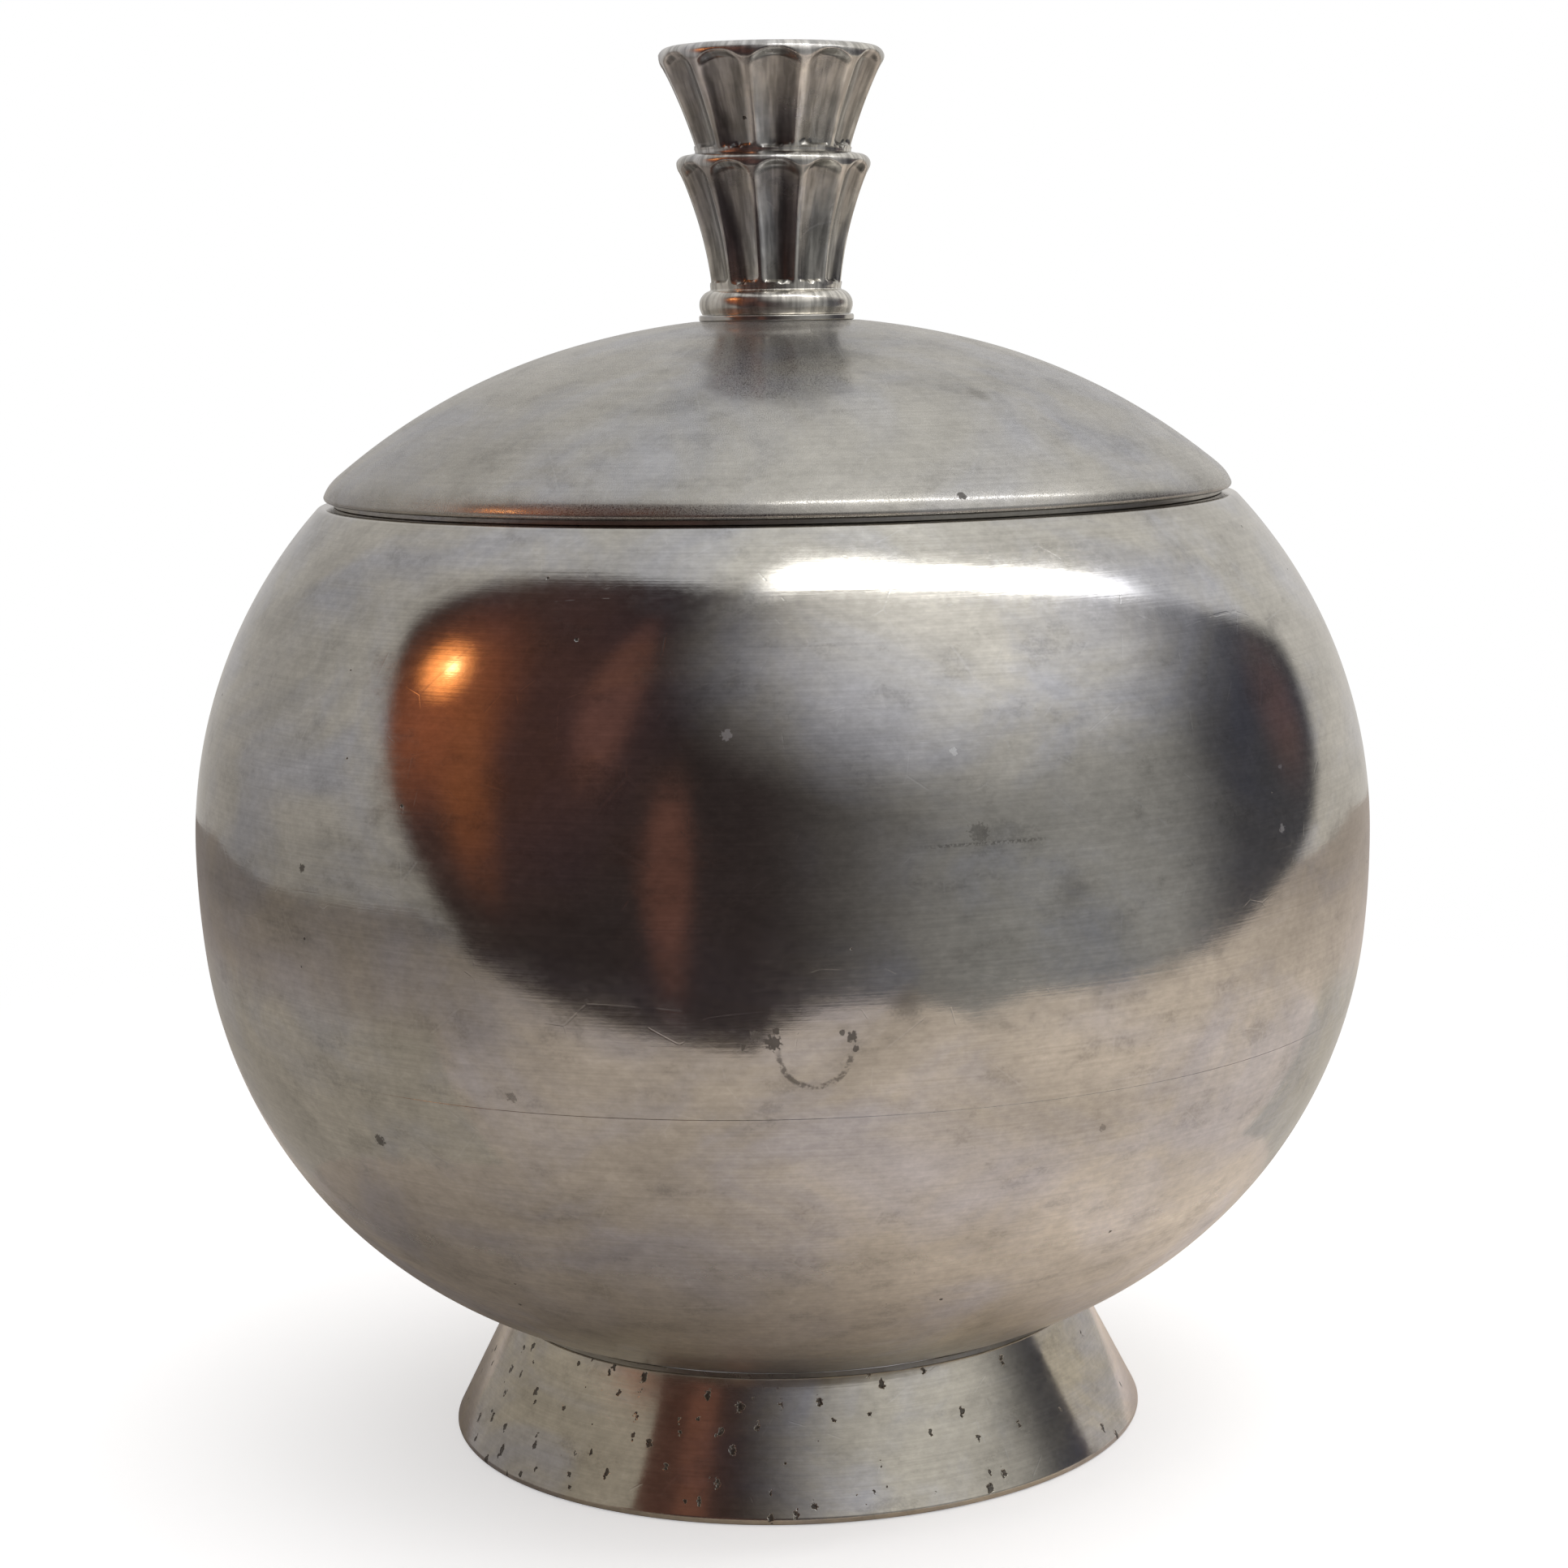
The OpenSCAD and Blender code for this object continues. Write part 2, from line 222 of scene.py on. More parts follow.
def eased(points, gap=0.5, passes=60):
    """Evens out the steps of curvature between arcs without shrinking the line."""
    p = resample(points, gap)
    for _ in range(passes):
        for share in (0.5, -0.51):
            p[1:-1] += share * ((p[:-2] + p[2:]) / 2 - p[1:-1])
    return p


def inset(points, d):
    """The line moved by d to the left of its direction."""
    t = np.gradient(points, axis=0)
    t /= np.linalg.norm(t, axis=1)[:, None]
    return points + d * np.column_stack([-t[:, 1], t[:, 0]])


def cut(points, axis, low, high):
    """The stretch of a line whose coordinate, rising along it or falling along it, is between low and high."""
    c = points[:, axis]
    if c[0] > c[-1]:
        return cut(points[::-1], axis, low, high)[::-1]
    s = np.arange(len(points), dtype=float)
    c = np.maximum.accumulate(c) + s * 1e-9
    low, high = max(low, c[0]), min(high, c[-1])
    ends = np.interp([low, high], c, s)
    t = np.concatenate([[ends[0]], s[(s > ends[0] + 1e-3) & (s < ends[1] - 1e-3)], [ends[1]]])
    return np.column_stack([np.interp(t, s, points[:, 0]), np.interp(t, s, points[:, 1])])


def trimmed(points, start, end):
    """The line without its first and last stretches of these lengths."""
    s = lengths(points)
    start, end = min(start, s[-1] * 0.45), s[-1] - min(end, s[-1] * 0.45)
    t = np.concatenate([[start], s[(s > start + 1e-4) & (s < end - 1e-4)], [end]])
    return np.column_stack([np.interp(t, s, points[:, 0]), np.interp(t, s, points[:, 1])])


def guarded(points, gap=0.01):
    """The line with an extra point close to each end, so that a fillet beside it doesn't tilt its shading."""
    s = lengths(points)
    t = np.unique(np.concatenate([s, [gap, s[-1] - gap]]) if s[-1] > 6 * gap else s)
    return np.column_stack([np.interp(t, s, points[:, 0]), np.interp(t, s, points[:, 1])])


def joined(parts, radii, closed=True, steps=6):
    """One outline from parts that meet end to end, with a fillet of the given radius where each meets the next."""
    n = len(parts)
    turns, backs = [], []
    for i in range(n if closed else n - 1):
        a, b = parts[i], parts[(i + 1) % n]
        u = (a[-1] - a[-2]) / np.linalg.norm(a[-1] - a[-2])
        v = (b[1] - b[0]) / np.linalg.norm(b[1] - b[0])
        turn = math.acos(max(-1.0, min(1.0, u @ v)))
        turns.append((u, v, turn))
        backs.append(radii[i] * math.tan(turn / 2))
    out = []
    for i in range(n):
        before = backs[i - 1] if closed or i > 0 else 0.0
        after = backs[i] if closed or i < n - 1 else 0.0
        body = guarded(trimmed(parts[i], before, after))
        out.append(body)
        if closed or i < n - 1:
            u, v, turn = turns[i]
            corner = parts[i][-1]
            p0, p3 = body[-1], corner + v * backs[i]
            k = 4 / 3 * math.tan(turn / 4) * radii[i]
            t = np.linspace(0, 1, steps + 2)[1:-1, None]
            p1, p2 = p0 + u * k, p3 - v * k
            out.append((1 - t) ** 3 * p0 + 3 * t * (1 - t) ** 2 * p1 + 3 * t * t * (1 - t) * p2 + t ** 3 * p3)
    points = np.vstack(out)
    keep = np.concatenate([[True], np.linalg.norm(np.diff(points, axis=0), axis=1) > 1e-5])
    return points[keep]


def divided(points, longest):
    """The same line with extra points on its long stretches."""
    out = [points[0]]
    for a, b in zip(points[:-1], points[1:]):
        n = max(1, math.ceil(np.linalg.norm(b - a) / longest))
        for i in range(1, n + 1):
            out.append(a + (b - a) * i / n)
    return np.array(out)


# ---------------------------------------------------------------- meshes

def ripple(p, size, seed):
    """Smooth noise from -1 to 1 at a place in millimetres, with bumps of the given size."""
    return noise.noise(Vector(p) / size + Vector((seed, seed * 0.7, -seed)))


def turned(name, outline, around=256, closed=True, longest=0.7, shape=None, wave=0.0, seed=0.0, middle=None):
    """A mesh turned about Z from an outline of (radius, height). shape(r, z, angle) may change the radius.
    wave is the depth of the shallow unevenness of a hand-finished surface. It goes inward along the normal, or
    towards the height middle on the axis, so that pieces which meet stay flush."""
    line_points = divided(np.vstack([outline, outline[:1]]) if closed else outline, longest)
    if closed:
        line_points = line_points[:-1]
    s = lengths(line_points)
    angles = np.arange(around) * 2 * math.pi / around
    mesh = bmesh.new()
    along = mesh.verts.layers.float_vector.new("turned")
    depth = mesh.verts.layers.float.new("cut_depth")
    rings = []
    for (r, z), length in zip(line_points, s):
        if r < 1e-4:
            v = mesh.verts.new((0, 0, z))
            v[along] = (1, 0, length)
            rings.append([v])
            continue
        ring = []
        for a in angles:
            rr, zz = shape(r, z, a) if shape else (r, z)
            v = mesh.verts.new((rr * math.cos(a), rr * math.sin(a), zz))
            v[along] = (math.cos(a), math.sin(a), length)
            v[depth] = r - rr
            ring.append(v)
        rings.append(ring)
    count = len(rings)
    for k in range(count if closed else count - 1):
        low, high = rings[k], rings[(k + 1) % count]
        for i in range(around):
            j = (i + 1) % around
            if len(low) == 1 and len(high) == 1:
                break
            if len(low) == 1:
                mesh.faces.new((low[0], high[j], high[i]))
            elif len(high) == 1:
                mesh.faces.new((low[i], low[j], high[0]))
            else:
                mesh.faces.new((low[i], low[j], high[j], high[i]))
    bmesh.ops.recalc_face_normals(mesh, faces=mesh.faces)
    mesh.normal_update()
    if wave:
        aims = [v.normal if middle is None else (v.co - Vector((0, 0, middle))).normalized() for v in mesh.verts]
        moves = [(v, aim * (-wave * (0.5 + 0.5 * unevenness(v.co, seed)))) for v, aim in zip(mesh.verts, aims)]
        for v, move in moves:
            v.co += move
    bmesh.ops.scale(mesh, vec=(MM, MM, MM), verts=mesh.verts)
    data = bpy.data.meshes.new(name)
    for f in mesh.faces:
        f.smooth = True
    mesh.to_mesh(data)
    mesh.free()
    data.set_sharp_from_angle(angle=math.radians(SHARP_DEG))
    piece = bpy.data.objects.new(name, data)
    bpy.context.scene.collection.objects.link(piece)
    return piece


def unevenness(p, seed):
    """Broad shallow waves and a few smaller ones, from -1 to 1."""
    return 0.75 * ripple(p, 17.0, seed) + 0.25 * ripple(p, 7.0, seed + 5.0)


def finish_piece(piece, material, body, slot, *nodes):
    """Gives a piece its material and its body, and hides the CAD nodes that it stands in for. slot is not used."""
    piece.data.materials.append(material)
    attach(piece, body)
    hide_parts(*nodes)
    return piece


# ---------------------------------------------------------------- shader helpers

def new_material(name):
    material = bpy.data.materials.new(name)
    material.use_nodes = True
    material.node_tree.nodes.clear()
    return material, material.node_tree


def add(tree, kind, inputs=None, **settings):
    """A shader node with its settings and its inputs, each a value or another node's output."""
    n = tree.nodes.new(kind)
    for key, value in settings.items():
        setattr(n, key, value)
    for key, value in (inputs or {}).items():
        if isinstance(value, bpy.types.NodeSocket):
            tree.links.new(value, n.inputs[key])
        else:
            n.inputs[key].default_value = value
    return n


def calc(tree, operation, a, b=0.0):
    return add(tree, "ShaderNodeMath", {0: a, 1: b}, operation=operation).outputs[0]


def product(tree, first, *others):
    """All the values multiplied together."""
    for other in others:
        first = calc(tree, "MULTIPLY", first, other)
    return first


def vec(tree, operation, a, b=(0, 0, 0)):
    node = add(tree, "ShaderNodeVectorMath", {0: a, 1: b}, operation=operation)
    return node.outputs["Value" if operation in ("DOT_PRODUCT", "DISTANCE", "LENGTH") else "Vector"]


def span(tree, x, x0, x1, y0=0.0, y1=1.0, smooth=True):
    """x carried from the range x0..x1 to y0..y1, held at the ends."""
    kind = "SMOOTHSTEP" if smooth else "LINEAR"
    return add(tree, "ShaderNodeMapRange", {0: x, 1: x0, 2: x1, 3: y0, 4: y1},
               interpolation_type=kind, clamp=True).outputs[0]


def fractal(tree, vector, scale, detail=3.0, rough=0.55):
    return add(tree, "ShaderNodeTexNoise", {
        "Vector": vector, "Scale": scale, "Detail": detail, "Roughness": rough,
    }).outputs[0]


def mix_colour(tree, share, a, b, blend="MIX"):
    n = tree.nodes.new("ShaderNodeMix")
    n.data_type = "RGBA"
    n.blend_type = blend
    for index, value in ((0, share), (6, a), (7, b)):
        if isinstance(value, bpy.types.NodeSocket):
            tree.links.new(value, n.inputs[index])
        else:
            n.inputs[index].default_value = value
    return n.outputs[2]


def level_of(tree, here):
    """The height of the place."""
    return add(tree, "ShaderNodeSeparateXYZ", {0: here}).outputs[2]


def even_grey(tree, value):
    """A grey colour from one value."""
    return add(tree, "ShaderNodeCombineColor", {0: value, 1: value, 2: value}).outputs[0]


def grey(v, warm=0.0):
    """A grey with a little warmth."""
    return (v * (1 + warm), v, v * (1 - warm), 1.0)


def places(tree):
    """The place on the piece in millimetres, and the turned coordinates: round the axis and along the outline."""
    here = add(tree, "ShaderNodeTexCoord").outputs["Object"]
    here = vec(tree, "MULTIPLY", here, (1 / MM, 1 / MM, 1 / MM))
    along = add(tree, "ShaderNodeAttribute", attribute_name="turned").outputs["Vector"]
    return here, along


def scratches(tree, here, cell, width, seed):
    """Straight hairlines: the flat walls between random cells, where they cut the surface."""
    walls = add(tree, "ShaderNodeTexVoronoi", {
        "Vector": vec(tree, "ADD", here, (seed, seed * 2, seed * 3)), "Scale": 1.0 / cell,
    }, feature="DISTANCE_TO_EDGE")
    return span(tree, walls.outputs["Distance"], width * 0.4 / cell, width / cell, 1.0, 0.0)


def pits(tree, here, cell, largest, share, stretch=1.0):
    """Ragged little pits, in some of the random cells: 1 in the middle of a pit."""
    squeezed = vec(tree, "MULTIPLY", here, (1.0, 1.0, 1.0 / stretch))
    cells = add(tree, "ShaderNodeTexVoronoi", {"Vector": squeezed, "Scale": 1.0 / cell, "Randomness": 1.0})
    drawn = add(tree, "ShaderNodeSeparateColor", {0: cells.outputs["Color"]})
    ragged = calc(tree, "SUBTRACT", fractal(tree, here, 3.0, 1.0, 0.6), 0.5)
    size = product(tree, span(tree, drawn.outputs[1], 0.0, 1.0, 0.35, 1.0, smooth=False), largest / cell)
    off = calc(tree, "ADD", cells.outputs["Distance"], product(tree, ragged, 1.7 * largest / cell))
    off = calc(tree, "DIVIDE", off, size)
    depth = span(tree, off, 0.35, 1.0, 1.0, 0.0)
    chosen = calc(tree, "LESS_THAN", drawn.outputs[0], share)
    return product(tree, depth, chosen)


def with_marks(t, here, grain, speckle, dirt, marks):
    """The dirt with the dark marks added to it, and the bright marks, or None without any. A mark is its kind,
    its place, its size in millimetres and its amount, which is below 0 for a bright one."""
    bright = None
    for kind, at, size, amount in marks:
        off = vec(t, "DISTANCE", here, at)
        ragged = product(t, calc(t, "SUBTRACT", grain, 0.5), 1.6 * min(size, 0.9))
        if kind == "ring":
            wide = calc(t, "ABSOLUTE", calc(t, "SUBTRACT", off, size))
            wide = calc(t, "ADD", wide, product(t, ragged, 0.25))
            lower_part = span(t, level_of(t, here), at[2] + 0.8, at[2] - 1.0)
            inside = product(t, span(t, wide, 0.09, 0.33, 1.0, 0.0), lower_part, span(t, speckle, 0.36, 0.52))
        elif kind == "dash":
            line_off = calc(t, "ABSOLUTE", calc(t, "SUBTRACT", level_of(t, here), at[2]))
            inside = product(t, span(t, line_off, 0.05, 0.22, 1.0, 0.0), span(t, off, size * 0.5, size, 1.0, 0.0),
                             span(t, grain, 0.40, 0.55))
        else:
            edge = 0.85 if kind == "cloud" else 0.35
            inside = span(t, calc(t, "ADD", off, ragged), size * (1 - edge), size, 1.0, 0.0)
        inside = product(t, inside, abs(amount))
        if amount > 0:
            dirt = calc(t, "MAXIMUM", dirt, inside)
        else:
            bright = calc(t, "MAXIMUM", bright, inside) if bright else inside
    return dirt, bright


def pewter(name, tone=0.56, warm=0.035, rough=0.09, mottle=1.0, lines=1.0, haze=0.0, streaks=0.0, hollow_shade_and_tarnish=0.0,
           pit_share=0.04, pit_size=0.3, pit_stretch=1.0, pit_cell=2.4, pit_side=None, film_weight=0.0,
           dull_below=None, seed=0.0, marks=()):
    """Aged satin pewter: turning lines, cloudy tarnish with faint hues, hairline scratches and dark pits.
    haze is the share of a dull film and film_weight its sheen, streaks the depth of upright streaks, recess the
    darkening of cut hollows, which is painted shade along with tarnish, pit_side the direction towards which pits
    get common, and dull_below a height under which the surface is duller."""
    material, t = new_material(name)
    here, along = places(t)
    moved = vec(t, "ADD", here, (seed, -seed, seed * 0.5))
    clouds = add(t, "ShaderNodeTexNoise", {
        "Vector": vec(t, "MULTIPLY", moved, (1.0, 1.0, 1.5)), "Scale": 0.055, "Detail": 5.0, "Roughness": 0.58,
        "Distortion": 0.6,
    })
    cloud, hue = clouds.outputs[0], clouds.outputs[1]
    patch_at = vec(t, "MULTIPLY", vec(t, "ADD", moved, (31.0, 7.0, 3.0)), (1.0, 1.0, 1.7))
    patch = fractal(t, patch_at, 0.19, 4.0, 0.66)
    speckle = fractal(t, vec(t, "MULTIPLY", moved, (1.0, 1.0, 1.6)), 1.1, 3.0, 0.65)
    grain = fractal(t, moved, 4.5, 1.0, 0.5)
    fine_lines = fractal(t, vec(t, "MULTIPLY", along, (3.0, 3.0, 4.5)), 1.0, 1.0, 0.7)
    broad_lines = fractal(t, vec(t, "MULTIPLY", along, (1.2, 1.2, 0.8)), 1.0, 1.0, 0.6)
    long_rub = product(t, scratches(t, here, 13.0, 0.10, seed + 3.0), span(t, patch, 0.53, 0.60))
    short_rub = product(t, scratches(t, here, 8.0, 0.07, seed + 11.0), span(t, patch, 0.46, 0.40))
    rub = calc(t, "MAXIMUM", long_rub, short_rub)
    if pit_side:
        pit_share = span(t, vec(t, "DOT_PRODUCT", here, pit_side), -12.0, 20.0, pit_share * 0.25, pit_share)
    pit = pits(t, moved, pit_cell, pit_size, pit_share, pit_stretch)

    # Tone: each layer of noise lightens or darkens the metal a little.
    dull = span(t, patch, 0.47, 0.68)
    shade = product(
        t,
        span(t, cloud, 0.30, 0.70, 1.0 - 0.13 * mottle, 1.0 + 0.11 * mottle, smooth=False),
        span(t, patch, 0.32, 0.68, 1.0 + 0.07 * mottle, 1.0 - 0.08 * mottle, smooth=False),
        span(t, speckle, 0.34, 0.66, 1.0 - 0.07 * mottle, 1.0 + 0.05 * mottle, smooth=False),
        span(t, fine_lines, 0.3, 0.7, 1.0 - 0.05 * lines, 1.0 + 0.05 * lines, smooth=False),
        span(t, product(t, dull, grain), 0.25, 0.60, 1.0, 1.0 - 0.09 * mottle),
    )
    if streaks:
        upright = fractal(t, vec(t, "MULTIPLY", along, (11.0, 11.0, 0.22)), 1.0, 2.0, 0.6)
        shade = product(t, shade, span(t, upright, 0.36, 0.64, 1.0 - streaks, 1.0 + streaks * 0.7))
    # Painted shade along with tarnish: the colour is darkened in the cut hollows, where shade falls.
    if hollow_shade_and_tarnish:
        cut_depth = add(t, "ShaderNodeAttribute", attribute_name="cut_depth").outputs["Fac"]
        hollow = span(t, cut_depth, 0.04, 0.42)
        shade = product(t, shade, span(t, hollow, 0.0, 1.0, 1.0, 1.0 - hollow_shade_and_tarnish))
    shade = even_grey(t, product(t, shade, tone))
    drift = add(t, "ShaderNodeSeparateColor", {0: hue}).outputs[1]
    tint = mix_colour(t, span(t, drift, 0.42, 0.70), (1 + warm * 2.4, 1 + warm, 1 - warm * 2.2, 1),
                      (1.0, 1.0, 1.0 + warm * 1.2, 1))
    colour = mix_colour(t, 1.0, shade, tint, "MULTIPLY")
    colour = mix_colour(t, product(t, rub, 0.12), colour, grey(0.85))

    # Gloss: duller where the tarnish is, under the film and low down.
    roughness = calc(t, "ADD", span(t, cloud, 0.35, 0.65, rough, rough + 0.03), product(t, dull, 0.06))
    roughness = calc(t, "ADD", roughness, product(t, speckle, 0.03))
    if haze:
        mist = fractal(t, moved, 17.0, 0.0)
        limit = 0.5 + 0.3 * (0.5 - haze)
        film = span(t, mist, limit - 0.04, limit + 0.04)
        roughness = calc(t, "ADD", roughness, product(t, film, 0.30))
    if dull_below:
        low_down = span(t, level_of(t, here), dull_below, dull_below - 11.0, 0.0, 0.24)
        roughness = calc(t, "ADD", roughness, low_down)

    # Relief, in millimetres.
    height = product(t, fine_lines, 0.0016 * lines)
    height = calc(t, "ADD", height, product(t, broad_lines, 0.0022 * lines))
    height = calc(t, "ADD", height, product(t, speckle, 0.0022))
    height = calc(t, "SUBTRACT", height, product(t, rub, 0.0016))
    height = calc(t, "SUBTRACT", height, product(t, pit, 0.08))

    dirt, bright = with_marks(t, here, grain, speckle, span(t, pit, 0.0, 0.35), marks)
    colour = mix_colour(t, product(t, dirt, 0.85), colour, grey(0.07, 0.1))
    roughness = calc(t, "ADD", roughness, product(t, dirt, 0.25))
    if bright:
        colour = mix_colour(t, bright, colour, grey(0.80))
        roughness = calc(t, "ADD", roughness, product(t, bright, 0.22))
    bump = add(t, "ShaderNodeBump", {"Strength": 1.0, "Distance": MM, "Height": height}).outputs[0]
    shader = add(t, "ShaderNodeBsdfPrincipled", {
        "Base Color": colour, "Metallic": 1.0, "Roughness": roughness, "Normal": bump, "Sheen Weight": film_weight,
        "Sheen Roughness": 0.4,
    })
    add(t, "ShaderNodeOutputMaterial", {"Surface": shader.outputs[0]})
    return material


def fixing(name, colour, rough):
    """Plain turned brass or steel of the knob's fixing, dulled and a little stained."""
    material, t = new_material(name)
    here, along = places(t)
    cloud = fractal(t, here, 0.35, 5.0, 0.6)
    speckle = fractal(t, here, 3.0, 3.0)
    rings = fractal(t, vec(t, "MULTIPLY", along, (3.0, 3.0, 9.0)), 1.0, 2.0)
    dark = tuple(c * 0.45 for c in colour[:3]) + (1.0,)
    tone = mix_colour(t, span(t, cloud, 0.4, 0.7), colour, dark)
    roughness = calc(t, "ADD", rough, product(t, cloud, 0.2))
    height = calc(t, "ADD", product(t, rings, 0.006), product(t, speckle, 0.006))
    bump = add(t, "ShaderNodeBump", {"Strength": 1.0, "Distance": MM, "Height": height}).outputs[0]
    shader = add(t, "ShaderNodeBsdfPrincipled", {
        "Base Color": tone, "Metallic": 1.0, "Roughness": roughness, "Normal": bump,
    })
    add(t, "ShaderNodeOutputMaterial", {"Surface": shader.outputs[0]})
    return material


# ---------------------------------------------------------------- lines of the bowl and lid

belly = (BELLY_R, BELLY_Z)
shoulder_r = arc_radius(belly, (-1, 0), (MOUTH_R, BOWL_H))
shoulder_c = (BELLY_R - shoulder_r, BELLY_Z)
side_c = (BELLY_R - SIDE_R, BELLY_Z)
side_out = np.array([math.cos(math.radians(SIDE_DEG)), -math.sin(math.radians(SIDE_DEG))])
side_end = np.array(side_c) + SIDE_R * side_out
base_r = arc_radius(side_end, -side_out, (FOOT_TOP_R, FOOT_H))
base_c = side_end - base_r * side_out
mouth_deg = math.degrees(math.atan2(BOWL_H - BELLY_Z, MOUTH_R - shoulder_c[0]))
BOWL_BOTTOM = base_c[1] - base_r

bowl_line = eased(np.vstack([
    line((0, BOWL_BOTTOM), (base_c[0], BOWL_BOTTOM)),
    arc(base_c, base_r, -90, -SIDE_DEG)[1:],
    arc(side_c, SIDE_R, -SIDE_DEG, 0)[1:],
    arc(shoulder_c, shoulder_r, 0, mouth_deg + 6)[1:],
]))
bowl_inner = inset(bowl_line, WALL)
mouth_bore = MOUTH_R - SEAT_W

crown_c = np.array([0, LID_TOP - CROWN_R])
crown_out = np.array([math.sin(math.radians(CROWN_DEG)), math.cos(math.radians(CROWN_DEG))])
crown_end = crown_c + CROWN_R * crown_out
edge_c = np.array([LID_R - EDGE_R, LID_Z - EDGE_DROP])
haunch_r = blend_radius(crown_end, -crown_out, edge_c, EDGE_R)
haunch_c = crown_end - haunch_r * crown_out
edge_deg = math.degrees(math.atan2(*(edge_c - haunch_c)[::-1]))
lid_edge_deg = math.degrees(math.asin((LID_Z - edge_c[1]) / EDGE_R))
lid_line = eased(np.vstack([
    arc(edge_c, EDGE_R, lid_edge_deg, edge_deg),
    arc(haunch_c, haunch_r, edge_deg, 90 - CROWN_DEG)[1:],
    arc(crown_c, CROWN_R, 90 - CROWN_DEG, 90)[1:],
]), 0.4, 40)
lid_inner = inset(lid_line, LID_WALL)


def up_to(points, z):
    """The part of an upward line that is below z, with its end exactly there."""
    return cut(points, 1, -1.0, z)


def over(points, z):
    """The part of an upward line that is above z."""
    return cut(points, 1, z, 1e6)


def bowl_pieces(metal, foot_metal, solder):
    """The two halves of the bowl, the seam, the foot and its solder."""
    hand = {"wave": BOWL_WAVE, "seed": BOWL_SEED, "middle": BELLY_Z}
    outer, inner = up_to(bowl_line, SEAM_Z0), up_to(bowl_inner, SEAM_Z0)
    lower = joined([outer, line(outer[-1], inner[-1]), inner[::-1]], [SEAM_LINE, 0.0], closed=False)
    finish_piece(turned("bowl_lower_half", lower, closed=False, **hand), metal, "bowl", "bowl", "bowl_lower")

    outer = cut(bowl_line, 1, SEAM_Z1, BOWL_H)
    inner_side = over(bowl_inner, BELLY_Z)
    bore_z = np.interp(-mouth_bore, -inner_side[:, 0], inner_side[:, 1])
    inner = cut(bowl_inner, 1, SEAM_Z1, bore_z)
    seat = line(outer[-1], (mouth_bore, BOWL_H))
    bore = line(seat[-1], inner[-1])
    upper = joined([outer, seat, bore, inner[::-1], line(inner[0], outer[0])], [LIP_ROUND, 0.12, 0.1, 0.0, 0.0])
    finish_piece(turned("bowl_upper_half", upper, **hand), metal, "bowl", "bowl", "bowl_upper")

    outer = cut(inset(bowl_line, SEAM_SUNK), 1, SEAM_Z0, SEAM_Z1)
    inner = cut(inset(bowl_line, WALL - SEAM_SUNK), 1, SEAM_Z0, SEAM_Z1)
    seam = joined([outer, line(outer[-1], inner[-1]), inner[::-1], line(inner[0], outer[0])], [0.0] * 4)
    finish_piece(turned("bowl_seam", seam, longest=0.2, **hand), metal, "bowl", "solder", "seam_solder")

    lean = math.atan((FOOT_R - FOOT_TOP_R) / FOOT_H)
    level = FOOT_WALL / math.cos(lean)
    slope = np.array([-math.sin(lean), math.cos(lean)])

    def meet(x, grow):
        """Where the foot's side that starts at the radius x meets the bowl grown by this much."""
        d = np.array([x, 0.0]) - base_c
        half, r = d @ slope, base_r + grow
        return np.array([x, 0.0]) + (-half - math.sqrt(half * half - d @ d + r * r)) * slope

    out_top, in_top = meet(FOOT_R, FOOT_SOLDER), meet(FOOT_R - level, FOOT_SOLDER)
    a0 = math.degrees(math.atan2(*(out_top - base_c)[::-1]))
    a1 = math.degrees(math.atan2(*(in_top - base_c)[::-1]))
    top = arc(base_c, base_r + FOOT_SOLDER, a0, a1)
    foot = joined([line((FOOT_R, 0), out_top), top, line(in_top, (FOOT_R - level, 0)),
                   line((FOOT_R - level, 0), (FOOT_R, 0))], [0.16, 0.1, 0.25, FOOT_ROUND])
    finish_piece(turned("foot", foot, wave=0.03, seed=8.0), foot_metal, "bowl", "foot", "foot_ring")

    b_out, b_in = meet(FOOT_R - SOLDER_SHY, SOLDER_SINK), meet(FOOT_R - level + SOLDER_SHY, SOLDER_SINK)
    t_out, t_in = meet(FOOT_R - SOLDER_SHY, FOOT_SOLDER), meet(FOOT_R - level + SOLDER_SHY, FOOT_SOLDER)
    ang = [math.degrees(math.atan2(*(p - base_c)[::-1])) for p in (b_out, b_in, t_in, t_out)]
    band = joined([line(t_out, b_out), arc(base_c, base_r + SOLDER_SINK, ang[0], ang[1]), line(b_in, t_in),
                   arc(base_c, base_r + FOOT_SOLDER, ang[2], ang[3])], [0.05] * 4)

    def fillet(r, z, a):
        return r + SOLDER_LUMP * ripple((r * math.cos(a), r * math.sin(a), z), SOLDER_LUMP_SIZE, 4.0), z

    finish_piece(turned("foot_joint", band, longest=0.15, shape=fillet), solder, "bowl", "solder", "foot_solder")


